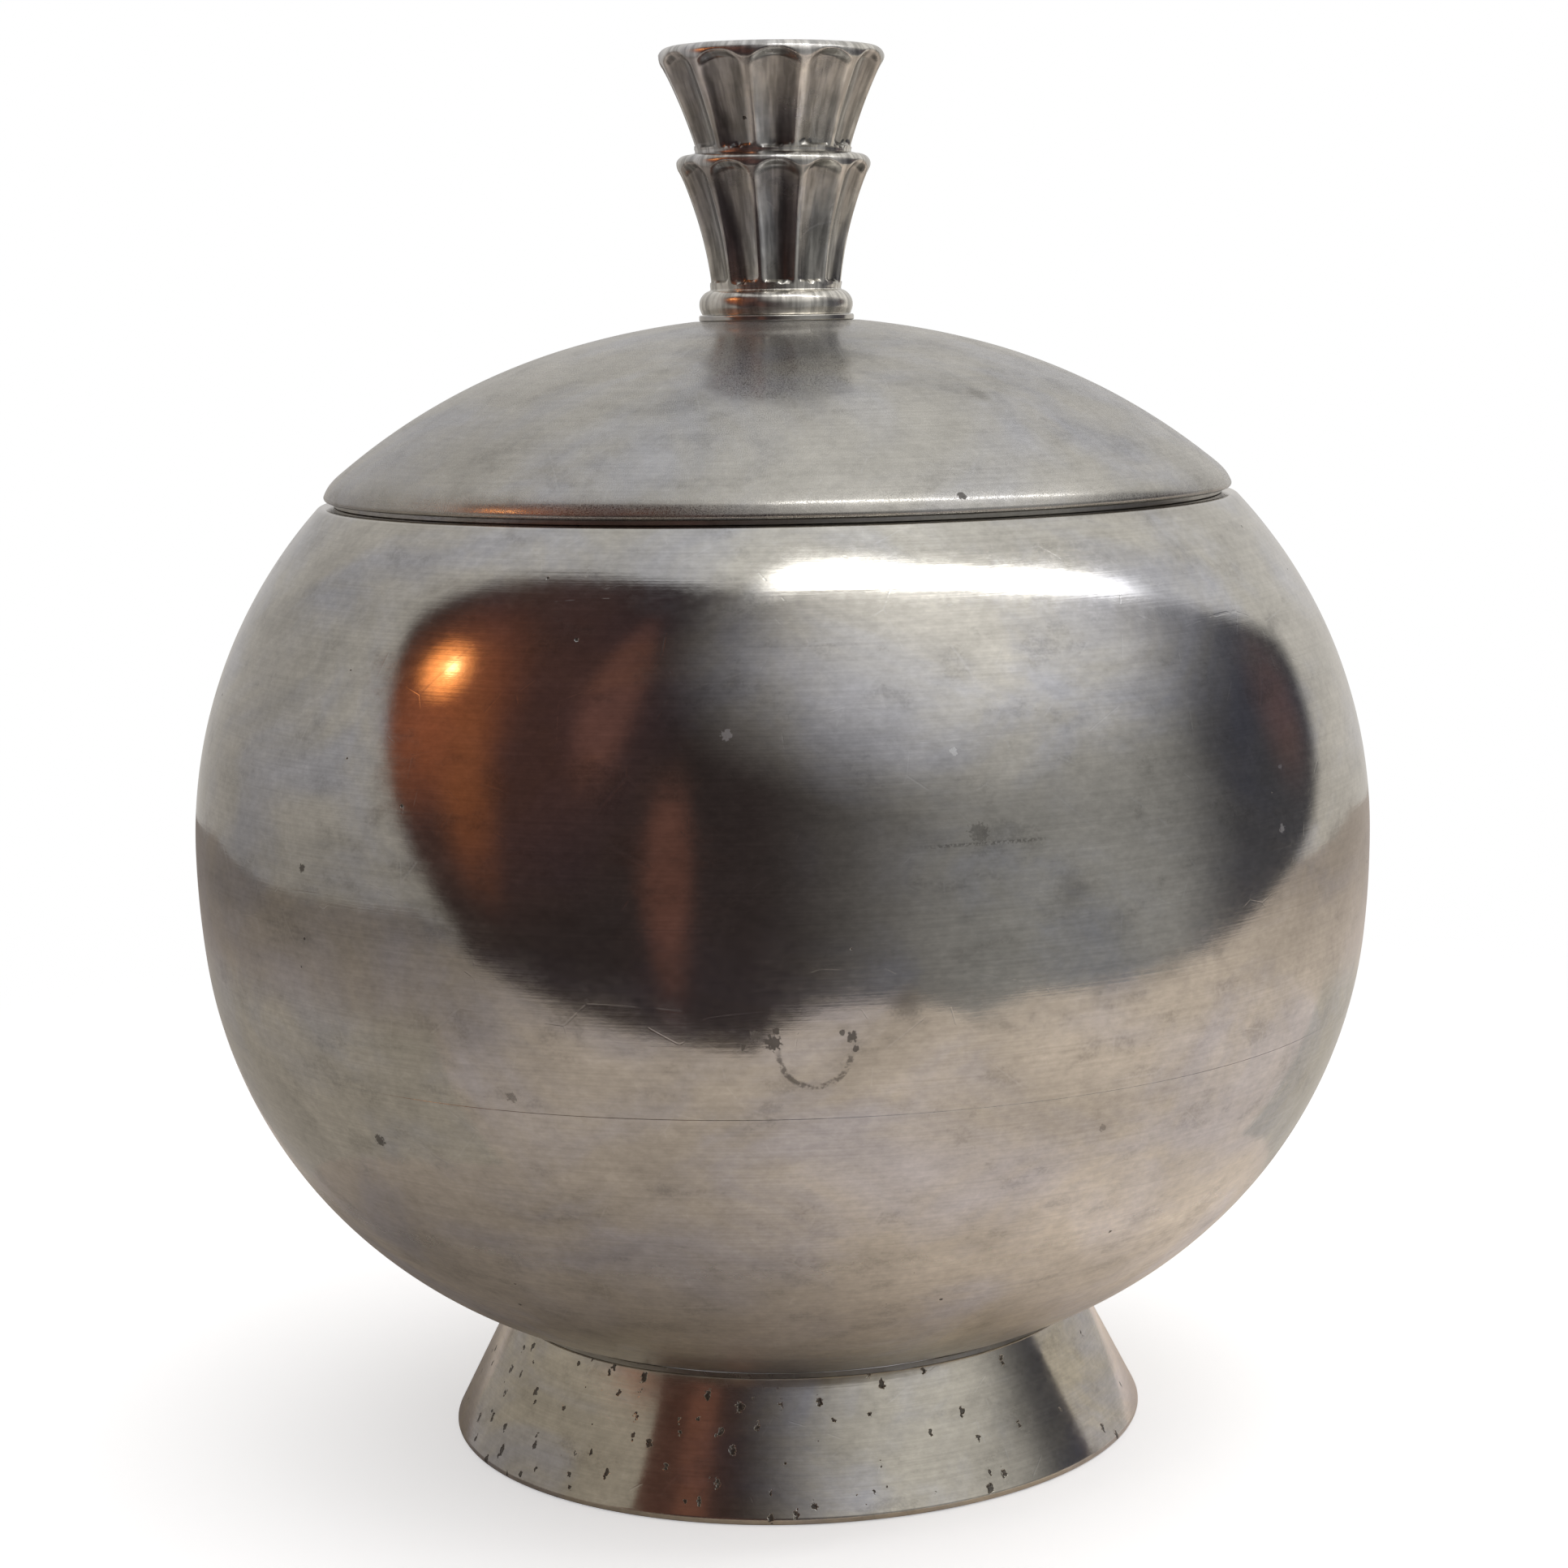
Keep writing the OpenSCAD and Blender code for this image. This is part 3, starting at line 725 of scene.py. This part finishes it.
def lid_pieces(metal, inside, solder):
    """The dome, the locating ring and the fillet that holds the ring."""
    top = cut(lid_line, 1, LID_Z, KNOB_SEAT_Z)
    flat = line(top[-1], (STUD_HOLE_R, KNOB_SEAT_Z))
    under = cut(lid_inner, 1, LID_Z, KNOB_SEAT_Z - LID_WALL)
    hole = line(flat[-1], (STUD_HOLE_R, KNOB_SEAT_Z - LID_WALL))
    under_flat = line(hole[-1], under[-1])
    dome = joined([top, flat, hole, under_flat, under[::-1], line(under[0], top[0])],
                  [0.3, 0.1, 0.1, 0.3, 0.1, RIM_ROUND])
    finish_piece(turned("lid_dome_shell", dome, wave=0.04, seed=5.0), metal, "lid", "lid", "lid_dome")

    ring_in = RING_R - RING_WALL
    below = cut(lid_inner, 1, LID_Z, KNOB_SEAT_Z)
    roof = cut(below, 0, ring_in, below[0, 0])
    ring = joined([
        *sides((ring_in, RING_Z), (RING_R, RING_Z), (RING_R, BOWL_H), (RING_SHOULDER_R, BOWL_H),
               (RING_SHOULDER_R, LID_Z), roof[0]),
        roof,
        line(roof[-1], (ring_in, RING_Z)),
    ], [0.25, 0.1, 0.1, 0.05, 0.02, 0.05, 0.25])
    finish_piece(turned("lid_locating_ring", ring, wave=0.02, seed=6.0), inside, "lid", "lid_inside", "lid_flange")

    foot_z = roof[-1, 1] - RING_FILLET
    web = cut(below, 0, ring_in - RING_FILLET, ring_in)
    hollow = web[-1] * 0.42 + np.array([ring_in, foot_z]) * 0.42 + np.array([ring_in, web[0, 1]]) * 0.16
    bow = line(web[-1], hollow, (ring_in, foot_z))
    fill = joined([bow, line((ring_in, foot_z), web[0]), web], [0.05, 0.02, 0.05])

    def run(r, z, a):
        blob = ripple((r * math.cos(a), r * math.sin(a), 0.0), FILLET_RUN_SIZE, 9.0)
        low = max(0.0, (web[0, 1] - z) / RING_FILLET)
        return r, z + FILLET_RUN * low * blob

    finish_piece(turned("lid_ring_fillet", fill, longest=0.25, shape=run), solder, "lid", "solder", "flange_solder")


# ---------------------------------------------------------------- knob

bead_z = KNOB_Z + BEAD_RISE
neck_z = bead_z + BEAD_ROUND + GROOVE_H
lower_rim_z = KNOB_Z + TIER_H - LOWER_ROUND
waist_z = KNOB_Z + TIER_H + WAIST_H
upper_rim_z = KNOB_TOP - UPPER_ROUND


def own_share(number, seed, more=0.0):
    """A little noise that belongs to one flute."""
    return noise.noise(Vector((number, seed, more)))


def flute_depth(z, a):
    """Depth of the flutes at the height z and the angle a, as a share of the radius: hollow cuts with an arched
    top, each a little different."""
    turn = (a - math.radians(KNOB_TURN)) / (2 * math.pi) * FLUTES
    number = math.floor(turn) % FLUTES
    upper = z > waist_z - WAIST_H / 2
    low, high = (waist_z, KNOB_TOP) if upper else (neck_z, KNOB_Z + TIER_H)
    own = number * 3.7 + (40.0 if upper else 0.0)
    high = high - FLUTE_TOP + 0.12 * own_share(own, 0.5)
    low = low + FLUTE_STOP * (1 + 0.8 * own_share(own, 5.5, turn * 3))
    wide = FLUTE_WIDTH * (1 + 0.04 * own_share(own, 9.5))
    u = (2 * (turn - math.floor(turn)) - 1) + 0.05 * own_share(own, 2.5, z * 0.12)
    x = 1 - (u / wide) ** 2
    x = (x + math.sqrt(x * x + FLUTE_SOFT * FLUTE_SOFT)) / 2
    roof = high - FLUTE_ARCH * abs(u) ** FLUTE_ARCH_POWER
    end = min(1.0, max(0.0, (roof - z) / FLUTE_END))
    end = end * end * (3 - 2 * end)
    start = min(1.0, max(0.0, (z - low + 0.1) / FLUTE_START))
    start = start * start * (3 - 2 * start)
    deep = FLUTE_DEPTH * (1 + 0.10 * own_share(own, 7.5))
    return deep * x * start * end


def tier(p, q, hollow, n):
    """The side of a tier from p to q, hollowed in the middle, as n points."""
    t = np.linspace(0, 1, n)[:, None]
    p, q = np.array(p), np.array(q)
    return p + (q - p) * t - np.column_stack([4 * hollow * t[:, 0] * (1 - t[:, 0]), 0 * t[:, 0]])


def disc(low, high, radii):
    """The outline of a flat disc with the stud's hole, from its lowest and highest corner."""
    wide, z0, z1 = high[0], low[2], high[2]
    return joined(sides((STUD_HOLE_R, z0), (wide, z0), (wide, z1), (STUD_HOLE_R, z1), (STUD_HOLE_R, z0)), radii)


def knob_pieces(metal, collar_metal, brass, steel):
    """The knob, its collar, and the stud, washer and nut that hold it."""
    rim_out = np.array([math.cos(math.radians(RIM_DEG)), -math.sin(math.radians(RIM_DEG))])
    lower_c = np.array([LOWER_RIM_R - LOWER_ROUND, lower_rim_z])
    upper_c = np.array([UPPER_RIM_R - UPPER_ROUND, upper_rim_z])
    bead_c = np.array([BEAD_R - BEAD_ROUND, bead_z])
    bead_start = -math.degrees(math.asin(BEAD_RISE / BEAD_ROUND))
    bead = arc(bead_c, BEAD_ROUND, bead_start, 75, 5)
    lower_side = tier((NECK_R, neck_z), lower_c + LOWER_ROUND * rim_out, LOWER_HOLLOW, 48)
    upper_side = tier((WAIST_R, waist_z), upper_c + UPPER_ROUND * rim_out, UPPER_HOLLOW, 36)
    dish_edge = np.array([upper_c[0] - UPPER_ROUND, upper_rim_z + UPPER_ROUND - DISH / 2])
    dish_r = dish_edge[0]
    dish = np.array([(dish_r * (1 - k / 12), dish_edge[1] - DISH / 2 * (1 - (1 - k / 12) ** 2)) for k in range(13)])
    outline = joined([
        *sides((0, KNOB_Z + STUD_GRIP), (STUD_HOLE_R, KNOB_Z + STUD_GRIP), (STUD_HOLE_R, KNOB_Z), bead[0]),
        bead,
        line(bead[-1], (NECK_R, neck_z - GROOVE_H / 2), (NECK_R, neck_z)),
        np.vstack([lower_side, arc(lower_c, LOWER_ROUND, -RIM_DEG, 90, 6)[1:]]),
        line((lower_c[0], lower_rim_z + LOWER_ROUND), (WAIST_R, waist_z - WAIST_H / 2), (WAIST_R, waist_z)),
        np.vstack([upper_side, arc(upper_c, UPPER_ROUND, -RIM_DEG, 90, 6)[1:]]),
        line((upper_c[0], upper_rim_z + UPPER_ROUND), dish_edge),
        dish,
    ], [0.05, 0.1, 0.05, 0.12, 0.02, 0.1, 0.02, 0.3, 0.25], closed=False, steps=4)

    def fluted(r, z, a):
        if r <= STUD_HOLE_R + 0.2:
            return r, z
        if z < neck_z - 0.05:
            lumps = ripple((r * math.cos(a), r * math.sin(a), z), LUMP_SIZE, 21.0)
            return r - LUMP_DEPTH * max(0.0, 0.5 + lumps) * min(1.0, (z - KNOB_Z) / 0.3), z
        return r * (1 - flute_depth(z, a)), z

    knob = turned("knob_fluted", outline, around=FLUTES * 24, closed=False, longest=0.25, shape=fluted,
                  wave=0.05, seed=12.0)
    finish_piece(knob, metal, "lid", "knob", "knob")

    collar = disc(collar_low, collar_high, [0.12, 0.16, 0.05, 0.05])
    finish_piece(turned("knob_collar_disc", collar, around=160, longest=0.3), collar_metal, "lid", "knob",
                 "knob_collar")

    def threaded(r, z, a):
        """A 60 degree thread, which fades at both ends."""
        if r < STUD_R - 0.01:
            return r, z
        t = (z / THREAD_PITCH - a / (2 * math.pi)) % 1.0
        fade = min(1.0, (z - stud_low[2]) / THREAD_FADE, (stud_high[2] - z) / THREAD_FADE)
        cut_in = THREAD_DEPTH * (1 - abs(2 * t - 1) ** 0.9)
        return r - cut_in * 0.95 - 0.25 * (1 - fade), z

    stud = joined([line((0, stud_low[2]), (STUD_R, stud_low[2])),
                   divided(line((STUD_R, stud_low[2]), (STUD_R, stud_high[2])), 0.07),
                   line((STUD_R, stud_high[2]), (0, stud_high[2]))], [0.02, 0.02], closed=False)
    finish_piece(turned("knob_stud_threaded", stud, around=64, closed=False, longest=0.3, shape=threaded),
                 brass, "lid", "fixing_brass", "knob_stud")

    washer = disc(washer_low, washer_high, [0.22, 0.05, 0.05, 0.15])
    finish_piece(turned("knob_washer_plain", washer, around=128, longest=0.25, wave=0.02, seed=3.0), steel, "lid",
                 "fixing_steel", "knob_washer")

    flats = min(nut_high[0], nut_high[1])
    corner = flats / math.cos(math.pi / 6)

    def hexagon(r, z, a):
        """Six flats, with a chamfer at both ends."""
        if r < corner - 0.4:
            return r, z
        flat = flats / math.cos((a - turn_of_nut + math.pi / 6) % (math.pi / 3) - math.pi / 6)
        end = min(z - nut_low[2], nut_high[2] - z)
        return min(flat, flats * 0.98 + end / math.tan(math.radians(NUT_CHAMFER_DEG)), r), z

    turn_of_nut = 0.0 if nut_high[0] < nut_high[1] else math.pi / 6
    nut = joined([line((STUD_HOLE_R, nut_low[2]), (flats * 0.96, nut_low[2]), (corner, nut_low[2] + 0.02)),
                  divided(line((corner, nut_low[2] + 0.02), (corner, nut_high[2] - 0.02)), 0.12),
                  line((corner, nut_high[2] - 0.02), (flats * 0.96, nut_high[2]), (STUD_HOLE_R, nut_high[2])),
                  line((STUD_HOLE_R, nut_high[2]), (STUD_HOLE_R, nut_low[2]))], [0.01, 0.01, 0.25, 0.25])
    finish_piece(turned("knob_nut_hexagon", nut, around=192, longest=0.3, shape=hexagon), brass, "lid",
                 "fixing_brass", "knob_nut")


# ---------------------------------------------------------------- surroundings

def direction_blob(tree, azimuth, elevation, middle, size, edge, power=2.0, lean=0.0):
    """A soft-edged patch of the surroundings: 1 inside, 0 outside. middle and size are degrees of azimuth, from
    the front to the right, and of elevation."""
    x = calc(tree, "SUBTRACT", azimuth, middle[0])
    y = calc(tree, "SUBTRACT", elevation, middle[1])
    if lean:
        c, s = math.cos(math.radians(lean)), math.sin(math.radians(lean))
        x, y = (calc(tree, "ADD", product(tree, x, c), product(tree, y, s)),
                calc(tree, "SUBTRACT", product(tree, y, c), product(tree, x, s)))
    x = calc(tree, "POWER", calc(tree, "ABSOLUTE", calc(tree, "DIVIDE", x, size[0])), power)
    y = calc(tree, "POWER", calc(tree, "ABSOLUTE", calc(tree, "DIVIDE", y, size[1])), power)
    far = calc(tree, "POWER", calc(tree, "ADD", x, y), 1.0 / power)
    return span(tree, far, 1.0 - edge, 1.0 + edge, 1.0, 0.0)


# What the dark opening holds, from back to front: middle, size, edge, lean, share and colour of each patch.
ROOM_PATCHES = [
    ((55.0, 55.0), (54.0, 28.0), 0.72, 0.0, 1.0, (0.92, 0.91, 0.91, 1)),       # glow under the strip light
    ((-62.0, 28.0), (30.0, 30.0), 0.6, 0.0, 0.8, (0.095, 0.045, 0.036, 1)),    # warm wall on the left
    ((-77.0, 27.0), (12.0, 13.0), 0.9, 0.0, 0.85, (0.40, 0.12, 0.05, 1)),
    ((-64.0, 16.0), (5.0, 17.0), 0.7, 20.0, 0.7, (0.30, 0.10, 0.04, 1)),
    ((-39.0, 37.0), (6.0, 17.0), 0.35, 0.0, 0.75, (0.19, 0.085, 0.062, 1)),    # two warm uprights
    ((-22.0, 2.0), (4.5, 20.0), 0.35, 0.0, 0.75, (0.17, 0.075, 0.058, 1)),
    ((116.0, 10.0), (6.0, 7.0), 0.9, 0.0, 1.0, (0.15, 0.10, 0.10, 1)),
    ((-81.0, 33.0), (4.6, 3.6), 0.9, 0.0, 1.0, (3.0, 1.0, 0.26, 1)),           # orange lamp and its middle
    ((-80.0, 34.0), (1.3, 1.1), 0.5, 0.0, 1.0, (9.0, 5.0, 2.0, 1)),
]


def surroundings():
    """A pale studio all round, with a dark opening at the front and a strip light over it."""
    world = bpy.data.worlds.new("studio")
    bpy.context.scene.world = world
    world.use_nodes = True
    t = world.node_tree
    t.nodes.clear()
    ray = add(t, "ShaderNodeTexCoord").outputs["Generated"]
    part = add(t, "ShaderNodeSeparateXYZ", {0: ray})
    degree = 180 / math.pi
    from_front = calc(t, "ARCTAN2", part.outputs[0], product(t, part.outputs[1], -1.0))
    azimuth = product(t, from_front, degree)
    elevation = product(t, calc(t, "ARCSINE", part.outputs[2]), degree)

    pale = mix_colour(t, span(t, elevation, -30.0, 25.0), (0.60, 0.56, 0.51, 1), (0.70, 0.69, 0.68, 1))
    pale = mix_colour(t, span(t, elevation, 25.0, 75.0), pale, (0.80, 0.80, 0.80, 1))
    left = span(t, part.outputs[0], 0.15, -0.85)
    low = span(t, elevation, 35.0, -40.0)
    darker = product(t, left, calc(t, "ADD", 0.55, product(t, low, 0.35)))
    colour = mix_colour(t, darker, pale, (0.24, 0.225, 0.215, 1))

    # The opening: rounded, with a slanted left side, a lower right corner drawn in, and the strip light's curve
    # for its top.
    left_edge = calc(t, "ADD", azimuth, calc(t, "ADD", product(t, elevation, 0.74), 73.3))
    strip_x = calc(t, "SUBTRACT", azimuth, 12.0)
    strip_y = calc(t, "ADD", elevation, product(t, strip_x, strip_x, 0.0038))
    below = calc(t, "MAXIMUM", calc(t, "SUBTRACT", 20.0, elevation), 0.0)
    below = product(t, below, 1.15, span(t, azimuth, 55.0, 90.0))
    raised = calc(t, "ADD", calc(t, "MAXIMUM", elevation, 20.0), below)
    opening = direction_blob(t, azimuth, raised, (14.0, 20.0), (115.0, 46.0), 0.03, power=3.0)
    under_strip = calc(t, "MAXIMUM", span(t, strip_y, 63.0, 68.0, 1.0, 0.0), span(t, azimuth, -4.0, -16.0))
    opening = product(t, opening, span(t, left_edge, -2.0, 3.0), under_strip)

    room = mix_colour(t, span(t, azimuth, -8.0, 47.0), (0.040, 0.031, 0.032, 1), (0.33, 0.33, 0.335, 1))
    room = mix_colour(t, span(t, azimuth, 70.0, 97.0), room, (0.075, 0.075, 0.088, 1))
    for middle, size, edge, lean, share, tone in ROOM_PATCHES:
        patch = direction_blob(t, azimuth, elevation, middle, size, edge, lean=lean)
        room = mix_colour(t, product(t, patch, share), room, tone)
    colour = mix_colour(t, opening, colour, room)
    strip = direction_blob(t, azimuth, strip_y, (47.0, 69.0), (48.0, 3.0), 0.25, power=5.0)
    colour = mix_colour(t, strip, colour, (5.5, 5.5, 5.6, 1))

    path = add(t, "ShaderNodeLightPath")
    above = even_grey(t, product(t, span(t, elevation, 0.0, 70.0, 0.16, 1.25),
                                 span(t, part.outputs[0], -1.0, 1.0, 0.55, 1.45, smooth=False)))
    colour = mix_colour(t, path.outputs["Is Diffuse Ray"], colour, above)
    colour = mix_colour(t, path.outputs["Is Camera Ray"], colour, (1.0, 1.0, 1.0, 1))
    light = add(t, "ShaderNodeBackground", {"Color": colour, "Strength": 1.0})
    add(t, "ShaderNodeOutputWorld", {"Surface": light.outputs[0]})


def pale_floor():
    """A plain pale floor round the bowl, which fades into the pale surroundings."""
    mesh = bmesh.new()
    bmesh.ops.create_grid(mesh, x_segments=FLOOR_CELLS, y_segments=FLOOR_CELLS, size=FLOOR_R * MM)
    data = bpy.data.meshes.new("floor")
    mesh.to_mesh(data)
    mesh.free()
    floor = bpy.data.objects.new("floor", data)
    floor.location.z = -FLOOR_SINK * MM
    bpy.context.scene.collection.objects.link(floor)
    material, t = new_material("pale_floor")
    here = add(t, "ShaderNodeTexCoord").outputs["Object"]
    place = add(t, "ShaderNodeSeparateXYZ", {0: here})
    across_x, away_y = place.outputs[0], place.outputs[1]
    away = vec(t, "LENGTH", here)

    # The camera sees a floor that fades out. The bowl mirrors the sheet that it stands on.
    fading = span(t, away, 0.04, 0.26, 1.0, 0.0)
    front = span(t, away_y, -SHEET_FRONT * MM, (2 - SHEET_FRONT) * MM)
    bulge = vec(t, "DISTANCE", here, (BULGE_X * MM, BULGE_Y * MM, 0))
    front = calc(t, "MAXIMUM", front, span(t, bulge, BULGE_R * MM, (BULGE_R + 3) * MM, 1.0, 0.0))
    side = calc(t, "SUBTRACT", across_x, away_y)
    sheet = product(t, front, span(t, side, SHEET_SIDE * MM, (SHEET_SIDE + 3) * MM, 1.0, 0.0))
    seen = add(t, "ShaderNodeLightPath").outputs["Is Camera Ray"]
    mirrored = product(t, sheet, calc(t, "SUBTRACT", 1.0, seen))
    show = calc(t, "ADD", product(t, fading, seen), mirrored)

    # Painted light and shade in the sheet's colour, seen only in reflections: darker on the left, and more so near
    # the foot, where the bowl shades it; lighter just right of the foot; darker farther out.
    far_painted_shade = product(t, span(t, across_x, -170 * MM, 120 * MM, 0.50, 1.0, smooth=False),
                       span(t, away, 0.10, 0.36, 0.93, 0.55))
    # Painted shade on the foot's left and painted light on its right.
    near_painted_light_and_shade = span(t, across_x, -50 * MM, 45 * MM, 0.50, 1.22, smooth=False)
    near = span(t, away, 0.052, 0.096, 1.0, 0.0)
    floor_painted_light_and_shade = calc(t, "ADD", product(t, near_painted_light_and_shade, near),
                  product(t, far_painted_shade, calc(t, "SUBTRACT", 1.0, near)))
    floor_painted_light_and_shade = even_grey(t, floor_painted_light_and_shade)
    tint = mix_colour(t, 1.0, floor_painted_light_and_shade, (0.90, 0.79, 0.71, 1), "MULTIPLY")
    tint = mix_colour(t, seen, tint, (0.86, 0.85, 0.84, 1))
    matte = add(t, "ShaderNodeBsdfDiffuse", {"Color": tint})
    lift = add(t, "ShaderNodeEmission", {"Color": (0.46, 0.46, 0.465, 1), "Strength": seen})
    pale = add(t, "ShaderNodeAddShader", {0: matte.outputs[0], 1: lift.outputs[0]})
    clear = add(t, "ShaderNodeBsdfTransparent")
    both = add(t, "ShaderNodeMixShader", {0: show, 1: clear.outputs[0], 2: pale.outputs[0]})
    add(t, "ShaderNodeOutputMaterial", {"Surface": both.outputs[0]})
    data.materials.append(material)


def low_card(name, start, end, top, colour):
    """A low pale card bent round the foot from one angle to the other, seen only in reflections. The angles are
    degrees from the front to the right, and top is its height in millimetres."""
    mesh = bmesh.new()
    turns = np.radians(np.linspace(start, end, 24))
    rows = [[mesh.verts.new((CARD_R * math.sin(a) * MM, -CARD_R * math.cos(a) * MM, z * MM)) for a in turns]
            for z in (0.0, top)]
    for a, b, c, d in zip(rows[0][:-1], rows[0][1:], rows[1][1:], rows[1][:-1]):
        mesh.faces.new((a, b, c, d))
    data = bpy.data.meshes.new(name)
    mesh.to_mesh(data)
    mesh.free()
    card = bpy.data.objects.new(name, data)
    bpy.context.scene.collection.objects.link(card)
    material, t = new_material(name)
    glow = add(t, "ShaderNodeEmission", {"Color": colour, "Strength": 1.0})
    clear = add(t, "ShaderNodeBsdfTransparent")
    level = level_of(t, add(t, "ShaderNodeTexCoord").outputs["Object"])
    fade = span(t, level, (top - CARD_FADE) * MM, top * MM)
    both = add(t, "ShaderNodeMixShader", {0: fade, 1: glow.outputs[0], 2: clear.outputs[0]})
    add(t, "ShaderNodeOutputMaterial", {"Surface": both.outputs[0]})
    data.materials.append(material)
    card.visible_camera = False
    card.visible_shadow = False
    card.visible_diffuse = False


def camera():
    """The photograph's viewpoint: close, a little above the belly, and looking slightly down."""
    yaw, pitch, roll = (math.radians(a) for a in CAMERA_TURN)
    ahead = Vector((math.sin(yaw) * math.cos(pitch), math.cos(yaw) * math.cos(pitch), -math.sin(pitch)))
    level = Vector((math.cos(yaw), -math.sin(yaw), 0))
    up = level.cross(ahead)
    right = math.cos(roll) * level + math.sin(roll) * up
    top = math.cos(roll) * up - math.sin(roll) * level
    data = bpy.data.cameras.new("camera")
    data.lens, data.sensor_width = CAMERA_LENS, CAMERA_SENSOR
    data.shift_x, data.shift_y = CAMERA_SHIFT
    data.clip_start, data.clip_end = CAMERA_CLIP
    data.dof.use_dof = False
    seen_from = bpy.data.objects.new("camera", data)
    bpy.context.scene.collection.objects.link(seen_from)
    turn = Matrix((right, top, -ahead)).transposed()
    seen_from.matrix_world = Matrix.Translation(CAMERA_AT) @ turn.to_4x4()
    bpy.context.scene.camera = seen_from


# ---------------------------------------------------------------- the stage

camera()
surroundings()
pale_floor()
low_card("card_left", -122.0, -46.0, 42.0, (0.36, 0.33, 0.295, 1))
low_card("card_right", 90.0, 135.0, 38.0, (0.56, 0.52, 0.47, 1))
bpy.context.scene.view_settings.view_transform = "Standard"


# ---------------------------------------------------------------- the object

def round_axis(angle, r, z):
    """The place at an angle from the front to the right, in degrees, and at a radius and a height."""
    return r * math.sin(math.radians(angle)), -r * math.cos(math.radians(angle)), z


def on_bowl(angle, z):
    """The place on the bowl's outside at an angle and a height."""
    return round_axis(angle, np.interp(z, bowl_line[:, 1], bowl_line[:, 0]), z)


def on_lid(angle, r):
    """The place on the lid's outside at an angle and a radius."""
    return round_axis(angle, r, np.interp(-r, -lid_line[:, 0], lid_line[:, 1]))


# Stains, spots and bright scuffs: kind, place, size in millimetres, and amount, below 0 for a bright one.
bowl_marks = [
    ("ring", on_bowl(1.9, 47.4), 2.9, 0.7), ("spot", on_bowl(-1.6, 48.3), 0.75, 0.8),
    ("spot", on_bowl(-3.0, 48.9), 0.5, 0.75), ("spot", on_bowl(-1.3, 49.2), 0.4, 0.8),
    ("spot", on_bowl(-4.0, 48.0), 0.3, 0.8), ("spot", on_bowl(5.0, 48.6), 0.5, 0.8),
    ("spot", on_bowl(5.3, 47.6), 0.3, 0.8), ("spot", on_bowl(4.2, 49.0), 0.25, 0.7),
    ("dash", on_bowl(16.7, 63.5), 6.5, 0.55), ("spot", on_bowl(16.2, 64.4), 0.9, 0.5),
    ("spot", on_bowl(-41.7, 37.2), 0.65, 0.9), ("spot", on_bowl(-47.5, 60.2), 0.4, 0.9),
    ("spot", on_bowl(-25.0, 43.0), 0.5, 0.5), ("spot", on_bowl(29.0, 38.5), 0.4, 0.5),
    ("cloud", on_bowl(9.6, 51.2), 2.0, 0.35), ("cloud", on_bowl(24.5, 59.5), 2.6, 0.28),
    ("cloud", on_bowl(-1.6, 56.2), 2.4, -0.16), ("spot", on_bowl(-5.1, 72.6), 0.55, -0.9),
    ("spot", on_bowl(14.6, 70.8), 0.35, -0.9), ("spot", on_bowl(50.0, 61.4), 0.45, -0.8),
    ("spot", on_bowl(51.0, 66.5), 0.3, -0.8), ("cloud", on_bowl(-140.0, 62.0), 5.0, 0.25),
    ("spot", on_bowl(118.0, 45.0), 0.6, 0.8), ("spot", on_bowl(166.0, 68.0), 0.5, 0.8),
]
lid_marks = [
    ("cloud", on_lid(35.0, 30.0), 1.6, 0.35), ("spot", on_lid(21.0, 41.6), 0.45, 0.9),
    ("spot", on_lid(-150.0, 24.0), 0.5, 0.8),
]
body_metal = pewter("pewter_body", tone=0.56, rough=0.075, mottle=1.25, pit_share=0.12, pit_size=0.22,
                    dull_below=34.0, marks=bowl_marks)
foot_metal = pewter("pewter_foot", tone=0.56, warm=0.05, rough=0.085, mottle=1.2, pit_share=0.85, pit_size=0.38,
                    pit_stretch=2.0, pit_cell=1.4, pit_side=(-0.85, -0.5, 0.0), seed=14.0)
lid_metal = pewter("pewter_lid", tone=0.50, warm=0.03, rough=0.11, haze=0.6, mottle=1.0, film_weight=0.12, seed=27.0,
                   marks=lid_marks)
inside_metal = pewter("pewter_inside", tone=0.50, rough=0.26, haze=0.3, mottle=1.2, seed=41.0)
knob_metal = pewter("pewter_knob", tone=0.66, warm=0.03, rough=0.19, mottle=1.0, lines=0.0, streaks=0.30,
                    hollow_shade_and_tarnish=0.42, pit_share=0.06, pit_size=0.25, seed=53.0)
collar_metal = pewter("pewter_collar", tone=0.58, rough=0.14, seed=61.0)
solder_metal = pewter("pewter_solder", tone=0.34, rough=0.26, lines=0.3, mottle=1.3, seed=73.0)
brass = fixing("dull_brass", (0.60, 0.44, 0.20, 1), 0.28)
steel = fixing("washer_steel", (0.52, 0.52, 0.53, 1), 0.3)

bowl_pieces(body_metal, foot_metal, solder_metal)
lid_pieces(lid_metal, inside_metal, solder_metal)
knob_pieces(knob_metal, collar_metal, brass, steel)

bpy.context.view_layer.update()
